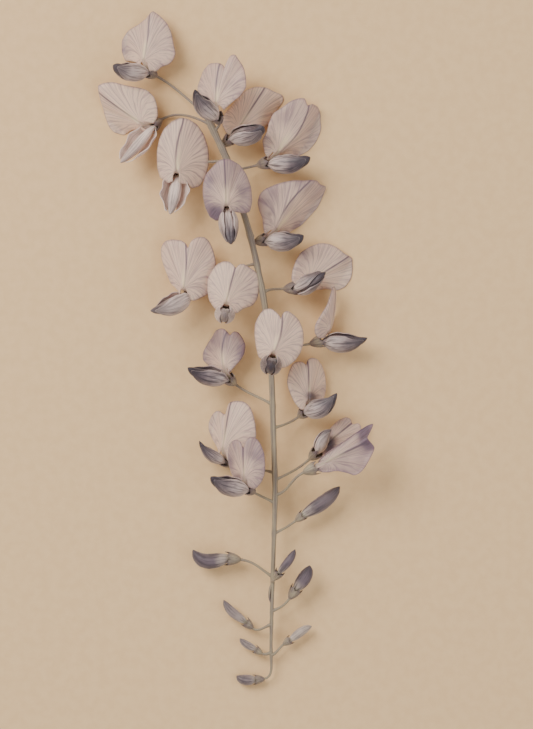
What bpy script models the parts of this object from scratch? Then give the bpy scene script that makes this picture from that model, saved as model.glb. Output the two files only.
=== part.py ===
"""A cut wisteria raceme, lying down: one stem with 19 blooms and 8 buds.

Metres, +Z up. X runs to the right and Y runs up the raceme, from its soft tip to its cut end.
The layout tables below are in millimetres and degrees.
"""

import math

import bmesh
import bpy
from mathutils import Vector

# Driving dimensions, in millimetres
MM = 0.001
SHIFT = (0.7, -0.7)          # moves the whole layout, so that its box is centred on the origin
PETAL_THICK = 0.7            # thickness of a banner's blade
PRESSED = 0.6                # a banner's points that come lower than this lie flat on z = 0
SEAT_GAP = 0.35              # clearance between a petal's foot and the floor of its calyx

# Calyx: a short bell with five teeth. Each ring is (height from the mouth, radius).
TOOTH_COUNT = 5
CUP_RINGS = ((-4.2, 0.9), (-2.9, 2.0))
CUP_VALLEY = (0.1, 2.65)
CUP_TOOTH = (1.8, 2.95)
CUP_FLOOR = (-0.2, 1.9)

# Banner: the foot in the calyx, the claw that carries the blade, and the grid of the blade
CLAW_WIDTH = 2.1
CLAW_RISE = 0.95             # the claw's height over the calyx axis
CLAW_REACH = 3.8             # how far the claw runs out of the mouth before the blade opens
CLAW_STRAIGHT = 0.9          # share of that reach before the claw bends into the blade
CLAW_ROWS = (0.0, 0.5)       # where the claw's rows of points lie along its bend
BLADE_LIFT = 1.0             # how far the blade's lowest point sits over the claw
BLADE_EDGE = (               # half of the outline: (angle from the midline, share of the length)
    (0, 1.0), (8, 1.0), (24, 1.06), (44, 1.12), (64, 1.08), (82, 0.90), (98, 0.60),
)
BLADE_ROWS = (0.0, 0.34, 0.70, 1.0)
BLADE_INNER = 0.13           # size of the fan's first row, as a share of the outline
BLADE_OPEN = 0.62            # how far the fan is open at that row, as a share of its full spread
LOBE_DROP = 0.17             # how far the blade's lower lobes hang, as a share of the length
FOLD_SOFTNESS = 1.3          # rounds the crease along the middle of the blade

# Wings and keel: one boat. Each section is (share of the length, width, height), of the largest.
BOAT_SIDES = 10
BOAT_SECTIONS = (
    (0.0, 0.24, 0.22), (0.14, 0.27, 0.27), (0.26, 0.74, 0.72), (0.45, 1.0, 1.0),
    (0.66, 0.98, 0.98), (0.84, 0.72, 0.80), (0.95, 0.40, 0.50),
)
BOAT_DROP = 0.75             # the boat's foot lies this far under the calyx axis
BOAT_GROOVE = 0.5            # depth of the slot between the two wings, as a share of half its height
BOAT_LEAD = 4.2              # how far the boat runs straight out of the calyx
BOAT_BELLY = (0.55, 2.6)     # where its keel hangs lowest, as a share of its length, and how low
BOAT_BEAK = 0.6              # how far its tip turns up

# Bud: a slim curved club in a smaller calyx
BUD_SIDES = 8
BUD_SECTIONS = (
    (0.0, 0.42, 0.42), (0.14, 0.66, 0.70), (0.34, 0.92, 0.98), (0.55, 1.0, 1.0),
    (0.76, 0.78, 0.80), (0.92, 0.42, 0.44),
)
BUD_DEPTH = 1.15             # height of a bud's section over its width
BUD_LEAD = 0.3               # share of its length that follows the calyx
BUD_TAPER = 0.4              # share of its length that follows its own heading

# Stem: points down the middle of the rachis, as (x, y, height, radius)
RACHIS = (
    (-11.6, 96.5, 10.5, 1.30), (-11.2, 91.0, 11.3, 1.30), (-8.4, 84.5, 12.0, 1.30),
    (-3.2, 73.1, 12.6, 1.28), (0.8, 60.1, 12.6, 1.26), (5.5, 44.3, 12.2, 1.25),
    (9.1, 28.6, 11.8, 1.23), (12.0, 12.0, 11.5, 1.20), (13.9, -10.0, 11.0, 1.16),
    (14.8, -36.0, 10.4, 1.12), (15.4, -56.1, 9.6, 1.05), (14.9, -76.0, 8.2, 0.92),
    (14.2, -99.5, 6.0, 0.78), (13.8, -117.0, 4.2, 0.64), (13.9, -127.0, 3.0, 0.52),
    (12.6, -130.2, 2.5, 0.46), (10.6, -131.0, 2.3, 0.42),
)
BRACT = ((14.4, -92.5, 6.7), (13.5, -95.0, 6.6), (13.2, -98.5, 6.2), (14.0, -101.5, 5.8))
BRACT_RADII = (0.3, 0.55, 0.6, 0.25)
RACHIS_SIDES = 8
RACHIS_STEPS = 2
PEDICEL_SIDES = 5
PEDICEL_STEPS = 5
PEDICEL_RADIUS = 0.58
PEDICEL_THIN = 0.85          # share of that radius which even the smallest bud's stalk keeps
PEDICEL_SPRING = 0.38        # how far each end runs straight, as a share of the span
PEDICEL_SEAT = 0.8           # how far a stalk runs into the base of its calyx

# Shared by every swept shape
START_SIDE = (0.1, 0.2, 1.0)
SLOPE_STEP = 0.02            # step along a curve over which its heading is taken
SHARP_ANGLE = 50             # edges that bend more than this many degrees stay crisp

# Colours (red, green, blue) and roughness of each sub-part's own material
STEM_LOOK = ((0.27, 0.33, 0.16), 0.62)
BANNER_LOOK = ((0.60, 0.52, 0.78), 0.55)
KEEL_LOOK = ((0.17, 0.09, 0.33), 0.50)
BUD_LOOK = ((0.27, 0.19, 0.42), 0.55)

# Blooms. mouth: the middle of the calyx mouth. joins: where along the rachis (y) the pedicel
# leaves it, and leaves: its first heading. cup, keel and banner start with a heading in the XY
# plane, counted from +X, and a rise out of that plane. keel goes on with length, height and
# width; banner with turn (how far its face turns from +Z to the keel), length, width, fold
# (how far the halves swing back), arch (how far the apex bends back) and notch at the apex.
BLOOMS = {
    "01": dict(mouth=(-34.3, 108.6, 6.5), joins=91, leaves=(140, 0), cup=(154, 40),
               keel=(173, 33, 17, 7.2, 6.8), banner=(87, -4, 22, 22.8, 22.5, 24, 0.10, -0.03)),
    "02": dict(mouth=(-32.4, 88.0, 4.7), joins=87.5, leaves=(165, -5), cup=(216, 35),
               keel=(238, 22, 21, 7.2, 7.0), banner=(147, 4, 26, 23.0, 21.5, 22, 0.10, -0.06)),
    "03": dict(mouth=(-7.4, 90.4, 17.5), joins=85, leaves=(60, 45), cup=(115, 55),
               keel=(134, 39, 17.5, 7.4, 7.2), banner=(86, -6, 24, 21.8, 20.5, 22, 0.08, 0.08)),
    "04": dict(mouth=(-2.6, 82.0, 8.5), joins=78, leaves=(40, -10), cup=(40, 34),
               keel=(12, 32, 16.0, 7.2, 6.8), banner=(56, -12, 20, 24.0, 20, 20, 0.10, 0.03)),
    "05": dict(mouth=(12.0, 72.8, 7.55), joins=69, leaves=(20, 0), cup=(14, 24),
               keel=(2, 20, 18.5, 7.4, 7.0), banner=(53, 2, 32, 25.0, 25, 24, 0.10, 0.06)),
    "06": dict(mouth=(-22.4, 68.6, 8.5), joins=74, leaves=(200, -10), cup=(247, 46),
               keel=(258, 24, 18.5, 7.4, 8.0), banner=(83, 6, 2, 21.0, 20.5, 20, 0.08, 0.0)),
    "07": dict(mouth=(-3.2, 55.4, 20.5), joins=58, leaves=(120, 60), cup=(262, 50),
               keel=(275, 22, 16.5, 7.2, 7.6), banner=(92, 12, 4, 18.3, 18.5, 24, 0.10, 0.0)),
    "08": dict(mouth=(11.0, 42.4, 8.05), joins=44, leaves=(10, 0), cup=(12, 26),
               keel=(1, 20, 16.8, 7.4, 7.0), banner=(46, 2, 28, 26.5, 25, 24, 0.10, 0.02)),
    "09": dict(mouth=(-18.2, 21.4, 8.4), joins=33, leaves=(190, -10), cup=(214, 50),
               keel=(206, 29, 17.5, 7.0, 6.8), banner=(91, 2, 14, 20.8, 21, 24, 0.08, 0.08)),
    "10": dict(mouth=(-4.0, 15.4, 12.5), joins=25, leaves=(205, 0), cup=(258, 74),
               keel=(262, 80, 14, 6.8, 7.8), banner=(81, 4, 0, 18.0, 19.5, 22, 0.10, 0.10)),
    "11": dict(mouth=(22.6, 23.4, 7.6), joins=21.6, leaves=(28, 10), cup=(4, 24),
               keel=(24, 32, 16, 7.4, 7.0), banner=(30, -10, 16, 23.5, 21, 20, 0.10, -0.05)),
    "12": dict(mouth=(33.2, 2.6, 6.9), joins=0, leaves=(24, -20), cup=(16, 6),
               keel=(2, 10, 19, 7.0, 6.6), banner=(70, 4, 66, 18.5, 16, 20, 0.22, 0.04)),
    "13": dict(mouth=(14.2, -4.2, 17.5), joins=-6, leaves=(90, 70), cup=(270, 78),
               keel=(262, 78, 14, 7.8, 8.4), banner=(79, 8, 0, 18.6, 19, 22, 0.10, 0.08)),
    "14": dict(mouth=(-2.8, -12.4, 6.4), joins=-22.5, leaves=(150, 10), cup=(140, 40),
               keel=(168, 20, 18, 7.4, 7.0), banner=(98, -2, 26, 18.0, 19.5, 24, 0.10, 0.05)),
    "15": dict(mouth=(27.0, -25.4, 8.8), joins=-31.7, leaves=(14, 0), cup=(40, 47),
               keel=(19, 30, 16.5, 7.4, 7.2), banner=(87, 0, 27, 19.8, 17.5, 22, 0.08, 0.0)),
    "16": dict(mouth=(-3.8, -44.8, 4.8), joins=-49.5, leaves=(160, -20), cup=(146, 46),
               keel=(150, 20, 13.5, 5.4, 5.4), banner=(83, 0, 34, 22.0, 19.5, 20, 0.08, 0.02)),
    "17": dict(mouth=(4.9, -55.6, 14.5), joins=-61.3, leaves=(150, 10), cup=(146, 48),
               keel=(166, 26, 17.5, 7.4, 7.2), banner=(93, 8, 26, 18.5, 16.5, 24, 0.10, 0.06)),
    "18": dict(mouth=(31.6, -41.6, 6.5), joins=-52.2, leaves=(25, 10), cup=(44, 34),
               keel=(60, 24, 12, 5.2, 5.2), banner=(40, -2, 6, 19.0, 14, 12, 0.04, 0.06)),
    "19": dict(mouth=(30.4, -47.6, 16.0), joins=-58.1, leaves=(10, 10), cup=(22, -8),
               keel=(14, -14, 15, 5.0, 5.0), banner=(26, 4, 170, 22.8, 15.5, -22, -0.04, 0.05)),
}

# Buds: mouth, joins, leaves and cup as above, size of the calyx as a share of a bloom's, then
# body (heading, rise, length, thickness, bend).
BUDS = {
    "01": dict(mouth=(25.8, -66.6, 6.6), joins=-73.3, leaves=(25, 0), cup=(38, 0), size=0.72,
               body=(38, 0, 19, 4.2, -0.06)),
    "02": dict(mouth=(-2.4, -83.4, 5.2), joins=-90.4, leaves=(150, 0), cup=(176, 0), size=1.0,
               body=(172, 0, 15, 5.4, 0.20)),
    "03": dict(mouth=(16.8, -89.0, 12.0), joins=-92.6, leaves=(100, 50), cup=(58, 20), size=0.72,
               body=(56, 4, 10.5, 3.9, -0.16)),
    "04": dict(mouth=(23.2, -96.0, 6.4), joins=-104, leaves=(20, 0), cup=(56, 0), size=0.9,
               body=(60, 0, 11.5, 5.0, -0.16)),
    "05": dict(mouth=(4.4, -109.0, 3.6), joins=-109.3, leaves=(196, 0), cup=(138, 0), size=0.72,
               body=(135, 0, 13, 3.5, 0.12)),
    "06": dict(mouth=(8.2, -119.6, 3.2), joins=-120.6, leaves=(184, 0), cup=(146, 0), size=0.6,
               body=(145, 0, 8, 2.8, 0.10)),
    "07": dict(mouth=(20.9, -115.8, 3.6), joins=-121.4, leaves=(12, 0), cup=(34, 0), size=0.66,
               body=(32, 0, 10.5, 3.0, 0.12)),
    "08": dict(mouth=(8.2, -131.2, 2.4), joins=None, leaves=None, cup=(184, -2), size=0.72,
               body=(176, -2, 8.4, 3.6, 0.16)),
}


def heading(turn, rise):
    """Unit vector with this heading in the XY plane and this rise out of it, in degrees."""
    flat = math.cos(math.radians(rise))
    return Vector((
        flat * math.cos(math.radians(turn)),
        flat * math.sin(math.radians(turn)),
        math.sin(math.radians(rise)),
    ))


def square_to(direction, axis):
    """The part of a direction that is square to an axis, as a unit vector."""
    return (direction - axis * direction.dot(axis)).normalized()


def placed(point):
    """A point of the layout, moved with it."""
    return Vector((point[0] + SHIFT[0], point[1] + SHIFT[1], point[2]))


def bezier(points, share):
    """Point on the Bezier curve with these control points."""
    points = list(points)
    while len(points) > 1:
        points = [a.lerp(b, share) for a, b in zip(points, points[1:])]
    return points[0]


def spline(knots, steps):
    """Points on a smooth curve through the knots; each knot is a vector of any size."""
    ends = [2 * knots[0] - knots[1], *knots, 2 * knots[-1] - knots[-2]]
    points = []
    for a, b, c, d in zip(ends, ends[1:], ends[2:], ends[3:]):
        for step in range(steps):
            t = step / steps
            points.append(0.5 * (2 * b + (c - a) * t + (2 * a - 5 * b + 4 * c - d) * t ** 2
                                 + (3 * b - a - 3 * c + d) * t ** 3))
    points.append(knots[-1].copy())
    return points


def solid_from_rings(name, rings, tip=None):
    """A closed mesh through rings of points; the last ring closes to the tip, if there is one."""
    bm = bmesh.new()
    rows = [[bm.verts.new(point * MM) for point in ring] for ring in rings]
    for lower, upper in zip(rows, rows[1:]):
        for i in range(len(lower)):
            j = (i + 1) % len(lower)
            bm.faces.new((lower[i], lower[j], upper[j]))
            bm.faces.new((lower[i], upper[j], upper[i]))
    for ring, row, end in ((rings[0], rows[0], None), (rings[-1], rows[-1], tip)):
        middle = end or sum(ring, Vector()) / len(ring)
        cap = bm.verts.new(middle * MM)
        for i in range(len(row)):
            bm.faces.new((row[i], row[(i + 1) % len(row)], cap))
    bmesh.ops.recalc_face_normals(bm, faces=bm.faces)
    mesh = bpy.data.meshes.new(name)
    bm.to_mesh(mesh)
    bm.free()
    return mesh


def tube(name, points, radii, sides):
    """A round tube along points; its rings turn no more than the path does."""
    rings = []
    side = None
    for i, point in enumerate(points):
        along = (points[min(i + 1, len(points) - 1)] - points[max(i - 1, 0)]).normalized()
        side = square_to(side or Vector(START_SIDE), along)
        other = along.cross(side)
        angles = [2 * math.pi * k / sides for k in range(sides)]
        ring = [point + radii[i] * (side * math.cos(a) + other * math.sin(a)) for a in angles]
        rings.append(ring)
    return solid_from_rings(name, rings)


def boat(name, spine, up, width, height, sections, sides, groove=0.0):
    """A closed boat along a curved spine, with a slot of this depth along its top."""
    rings = []
    for share, wide, high in sections:
        centre = bezier(spine, share)
        ahead = bezier(spine, min(share + SLOPE_STEP, 1))
        behind = bezier(spine, max(share - SLOPE_STEP, 0))
        along = (ahead - behind).normalized()
        rise = square_to(up, along)
        across = along.cross(rise)
        ring = []
        for k in range(sides):
            angle = math.pi / 2 + 2 * math.pi * k / sides
            lift = math.sin(angle)
            if k == 0:
                lift -= groove * wide
            ring.append(centre + across * (width / 2 * wide * math.cos(angle))
                        + rise * (height / 2 * high * lift))
        rings.append(ring)
    return solid_from_rings(name, rings, tip=spine[-1])


def pressed(point):
    """The point, moved onto z = 0 where it would lie lower than the margin of a resting petal."""
    return Vector((point.x, point.y, point.z if point.z > PRESSED else 0.0))


def blade(name, rows, thickness):
    """A closed sheet from a grid of points on its middle, pressed flat where it meets z = 0."""
    count = len(rows[0])
    faces_up, faces_down = [], []
    for i, row in enumerate(rows):
        up_row, down_row = [], []
        for j, point in enumerate(row):
            along = rows[min(i + 1, len(rows) - 1)][j] - rows[max(i - 1, 0)][j]
            across = row[min(j + 1, count - 1)] - row[max(j - 1, 0)]
            normal = across.cross(along).normalized() * thickness / 2
            sunk = point.z - abs(normal.z)
            lift = Vector((0, 0, max(0.0, -sunk)))
            up_row.append(pressed(point + normal + lift))
            down_row.append(pressed(point - normal + lift))
        faces_up.append(up_row)
        faces_down.append(down_row)
    bm = bmesh.new()
    front = [[bm.verts.new(p * MM) for p in row] for row in faces_up]
    back = [[bm.verts.new(p * MM) for p in row] for row in faces_down]
    for i in range(len(rows) - 1):
        for j in range(count - 1):
            corners = ((i, j), (i, j + 1), (i + 1, j + 1), (i + 1, j))
            halves = ((0, 1, 2), (0, 2, 3)) if j < count // 2 else ((0, 1, 3), (1, 2, 3))
            for half in halves:
                a, b, c = (corners[k] for k in half)
                bm.faces.new((front[a[0]][a[1]], front[b[0]][b[1]], front[c[0]][c[1]]))
                bm.faces.new((back[c[0]][c[1]], back[b[0]][b[1]], back[a[0]][a[1]]))
    last = len(rows) - 1
    rim = [(0, j) for j in range(count)]
    rim += [(i, count - 1) for i in range(1, last + 1)]
    rim += [(last, j) for j in range(count - 2, -1, -1)]
    rim += [(i, 0) for i in range(last - 1, 0, -1)]
    for a, b in zip(rim, rim[1:] + rim[:1]):
        bm.faces.new((front[a[0]][a[1]], back[a[0]][a[1]], back[b[0]][b[1]]))
        bm.faces.new((front[a[0]][a[1]], back[b[0]][b[1]], front[b[0]][b[1]]))
    bmesh.ops.recalc_face_normals(bm, faces=bm.faces)
    mesh = bpy.data.meshes.new(name)
    bm.to_mesh(mesh)
    bm.free()
    return mesh


def bloom_axes(bloom):
    """Unit vectors of a bloom: cup axis, keel heading, banner's length, width and face."""
    cup = heading(*bloom["cup"])
    keel = heading(*bloom["keel"][:2])
    length = heading(*bloom["banner"][:2])
    upward = square_to(Vector((0, 0, 1)), length)
    sideways = length.cross(upward)
    if sideways.dot(keel) < 0:
        sideways.negate()
    turn = math.radians(bloom["banner"][2])
    face = upward * math.cos(turn) + sideways * math.sin(turn)
    return cup, keel, length, length.cross(face), face


def blade_edge(notch):
    """The outline as (angle, share of the length), from one side of the claw to the other."""
    half = [(math.radians(angle), reach) for angle, reach in BLADE_EDGE]
    half[0] = (0.0, 1.0 - notch)
    return [(-angle, reach) for angle, reach in reversed(half[1:])] + half


def banner_rows(bloom):
    """Grid of points on the middle of a banner: foot, claw and the blade's fan."""
    cup, _, length_axis, width_axis, face = bloom_axes(bloom)
    _, _, _, length, width, fold, arch, notch = bloom["banner"]
    rise = square_to(length_axis, cup)
    mouth = placed(bloom["mouth"])
    start = mouth + rise * CLAW_RISE + cup * (CUP_FLOOR[0] + SEAT_GAP)
    origin = mouth + rise * (CLAW_RISE + BLADE_LIFT) + cup * CLAW_REACH
    swing = math.tan(math.radians(fold))

    def on_blade(share, angle, reach):
        angle *= BLADE_OPEN + (1 - BLADE_OPEN) * math.sqrt(share)
        reach = BLADE_INNER + (reach - BLADE_INNER) * share
        x = reach * math.sin(angle) * width / 2
        y = reach * math.cos(angle) * length
        y -= LOBE_DROP * (2 * x / width) ** 2 * (length - y)
        back = swing * (math.hypot(x, FOLD_SOFTNESS) - FOLD_SOFTNESS) + arch * y * abs(y) / length
        return origin + width_axis * x + length_axis * y - face * back

    edge = blade_edge(notch)
    foot_across = square_to(width_axis, cup)
    bend = (start, start + cup * CLAW_REACH * CLAW_STRAIGHT, on_blade(0, 0, 0))
    rows = []
    for share in CLAW_ROWS:
        middle = bezier(bend, share)
        across = foot_across.lerp(width_axis, share).normalized() * CLAW_WIDTH / 2
        rows.append([middle + across * (angle / edge[-1][0]) for angle, _ in edge])
    rows += [[on_blade(share, *point) for point in edge] for share in BLADE_ROWS]
    return rows


def keel_spine(bloom):
    """Control points of the curve down the middle of the wings and keel, and its up axis."""
    cup, keel, length_axis, _, _ = bloom_axes(bloom)
    reach = bloom["keel"][2]
    rise = square_to(length_axis, cup)
    up = square_to(length_axis, keel)
    mouth = placed(bloom["mouth"])
    start = mouth - rise * BOAT_DROP + cup * (CUP_FLOOR[0] + SEAT_GAP)
    share, depth = BOAT_BELLY
    belly = mouth + keel * reach * share - up * depth
    tip = mouth + keel * reach + up * BOAT_BEAK
    return (start, start + cup * BOAT_LEAD, belly, tip), up


def bud_spine(bud):
    """Control points of the curve down the middle of a bud, and its up axis."""
    cup = heading(*bud["cup"])
    turn, rise, length, _, bend = bud["body"]
    along = heading(turn, rise)
    side = square_to(Vector((0, 0, 1)), along).cross(along)
    start = placed(bud["mouth"]) + cup * (CUP_FLOOR[0] * bud["size"] + SEAT_GAP)
    tip = start + along * length
    swell = tip - along * length * BUD_TAPER + side * bend * length
    return (start, start + cup * length * BUD_LEAD, swell, tip), side


def calyx(name, mouth, cup, up, size):
    """A bell with five teeth round a shallow floor, which carries the petals' feet."""
    side = cup.cross(up)
    count = TOOTH_COUNT * 2

    def ring(heights, radii):
        points = []
        for k in range(count):
            angle = math.pi / 2 + 2 * math.pi * k / count
            out = side * math.cos(angle) + up * math.sin(angle)
            points.append(mouth + (cup * heights[k % 2] + out * radii[k % 2]) * size)
        return points

    rings = [ring((h, h), (r, r)) for h, r in CUP_RINGS]
    rings.append(ring((CUP_VALLEY[0], CUP_TOOTH[0]), (CUP_VALLEY[1], CUP_TOOTH[1])))
    rings.append(ring((CUP_FLOOR[0],) * 2, (CUP_FLOOR[1],) * 2))
    return solid_from_rings(name, rings)


def rachis_curve():
    """The rachis as a smooth run of (x, y, height, radius)."""
    knots = [Vector(placed(knot[:3])).to_4d() for knot in RACHIS]
    for knot, row in zip(knots, RACHIS):
        knot.w = row[3]
    return spline(knots, RACHIS_STEPS)


def rachis_at(level):
    """The point on the middle of the rachis at this y of the layout."""
    level += SHIFT[1]
    for upper, lower in zip(rachis_curve(), rachis_curve()[1:]):
        if upper.y >= level > lower.y:
            return upper.lerp(lower, (upper.y - level) / (upper.y - lower.y)).to_3d()
    raise ValueError("the rachis has no such level")


def pedicel(name, part, size):
    """A thin stalk from the middle of the rachis to the back of a calyx."""
    cup = heading(*part["cup"])
    root = rachis_at(part["joins"])
    back = placed(part["mouth"]) + cup * CUP_RINGS[0][0] * size
    reach = (back - root).length * PEDICEL_SPRING
    leaving = root + heading(*part["leaves"]) * reach
    path = (root, leaving, back - cup * reach, back + cup * PEDICEL_SEAT)
    points = [bezier(path, step / PEDICEL_STEPS) for step in range(PEDICEL_STEPS + 1)]
    radius = PEDICEL_RADIUS * (PEDICEL_THIN + (1 - PEDICEL_THIN) * size)
    return tube(name, points, [radius] * len(points), PEDICEL_SIDES)


def make_object(name, mesh, look):
    """An object of its own for a mesh, with a material of its own."""
    colour, roughness = look
    material = bpy.data.materials.new(name)
    material.use_nodes = True
    shader = material.node_tree.nodes["Principled BSDF"]
    shader.inputs["Base Color"].default_value = (*colour, 1)
    shader.inputs["Roughness"].default_value = roughness
    mesh.materials.append(material)
    mesh.shade_smooth()
    mesh.set_sharp_from_angle(angle=math.radians(SHARP_ANGLE))
    thing = bpy.data.objects.new(name, mesh)
    bpy.context.scene.collection.objects.link(thing)
    return thing


def make_stem():
    """The rachis with every pedicel and calyx joined to it in one body."""
    curve = rachis_curve()
    core = tube("stem", [p.to_3d() for p in curve], [p.w for p in curve], RACHIS_SIDES)
    stem = make_object("stem", core, STEM_LOOK)
    twigs = bpy.data.collections.new("twigs")
    bpy.context.scene.collection.children.link(twigs)
    shapes = [tube("bract", [placed(point) for point in BRACT], BRACT_RADII, PEDICEL_SIDES)]
    for part in [*BLOOMS.values(), *BUDS.values()]:
        cup = heading(*part["cup"])
        upright = heading(*part["banner"][:2]) if "banner" in part else Vector((0, 0, 1))
        up = square_to(upright, cup)
        size = part.get("size", 1.0)
        shapes.append(calyx("calyx", placed(part["mouth"]), cup, up, size))
        if part["joins"] is not None:
            shapes.append(pedicel("pedicel", part, size))
    for shape in shapes:
        twigs.objects.link(bpy.data.objects.new(shape.name, shape))
    union = stem.modifiers.new("join", "BOOLEAN")
    union.operation = "UNION"
    union.solver = "EXACT"
    union.operand_type = "COLLECTION"
    union.collection = twigs
    depsgraph = bpy.context.evaluated_depsgraph_get()
    joined = bpy.data.meshes.new_from_object(stem.evaluated_get(depsgraph))
    stem.modifiers.remove(union)
    stem.data = joined
    for twig in list(twigs.objects):
        bpy.data.objects.remove(twig)
    bpy.data.collections.remove(twigs)


def make_blooms():
    """A banner, and a boat of wings and keel, in each bloom's calyx."""
    for number, bloom in BLOOMS.items():
        petal = blade("banner", banner_rows(bloom), PETAL_THICK)
        make_object(f"banner_{number}", petal, BANNER_LOOK)
        spine, up = keel_spine(bloom)
        height, width = bloom["keel"][3:]
        shape = boat("keel", spine, up, width, height, BOAT_SECTIONS, BOAT_SIDES, BOAT_GROOVE)
        make_object(f"keel_{number}", shape, KEEL_LOOK)


def make_buds():
    """A closed bud in each small calyx."""
    for number, bud in BUDS.items():
        spine, up = bud_spine(bud)
        thick = bud["body"][3]
        shape = boat("bud", spine, up, thick, thick * BUD_DEPTH, BUD_SECTIONS, BUD_SIDES)
        make_object(f"bud_{number}", shape, BUD_LOOK)


for old in list(bpy.data.objects):
    bpy.data.objects.remove(old)
make_stem()
make_blooms()
make_buds()
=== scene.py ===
# %% [markdown]
# # A wisteria raceme, lying down
# This notebook dresses the plain solids of a cut wisteria raceme: one long stem with open
# pea-shaped blooms near its cut end, younger ones below them and closed buds down to the tip.
# Every petal is rebuilt here from the same few rules that shaped its plain solid, with many more
# points, so that it can fold, ruffle and carry veins. The first cell loads the solids.

# %% Load the plain solids
import math

import bpy
import numpy as np
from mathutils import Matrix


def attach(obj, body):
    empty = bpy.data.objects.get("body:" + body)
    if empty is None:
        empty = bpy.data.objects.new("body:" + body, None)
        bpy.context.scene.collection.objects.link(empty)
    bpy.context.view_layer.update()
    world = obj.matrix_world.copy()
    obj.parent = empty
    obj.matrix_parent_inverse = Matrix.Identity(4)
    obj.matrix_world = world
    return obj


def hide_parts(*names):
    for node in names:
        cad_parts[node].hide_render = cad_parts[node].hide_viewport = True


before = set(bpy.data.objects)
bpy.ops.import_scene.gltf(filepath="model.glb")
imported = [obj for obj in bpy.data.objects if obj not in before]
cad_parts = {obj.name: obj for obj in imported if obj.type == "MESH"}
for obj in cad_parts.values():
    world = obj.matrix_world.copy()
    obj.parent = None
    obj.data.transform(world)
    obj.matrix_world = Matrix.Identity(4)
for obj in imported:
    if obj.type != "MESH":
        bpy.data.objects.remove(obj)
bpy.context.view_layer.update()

# %% [markdown]
# ## Where every bloom sits
# A raceme is one rule repeated with small changes, so each bloom is one line of numbers: where
# the mouth of its calyx is, how the calyx, the keel and the banner are aimed, and how large and
# how folded they are. Lengths are in millimetres and angles in degrees. A table like this is
# easier to keep than 27 hand-placed flowers, and one helper per petal can read it.
# The last three numbers of a bloom are looks: how deep the colours of its banner and its keel
# are, from 0 to about 1, and how much its margin ruffles.

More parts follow.
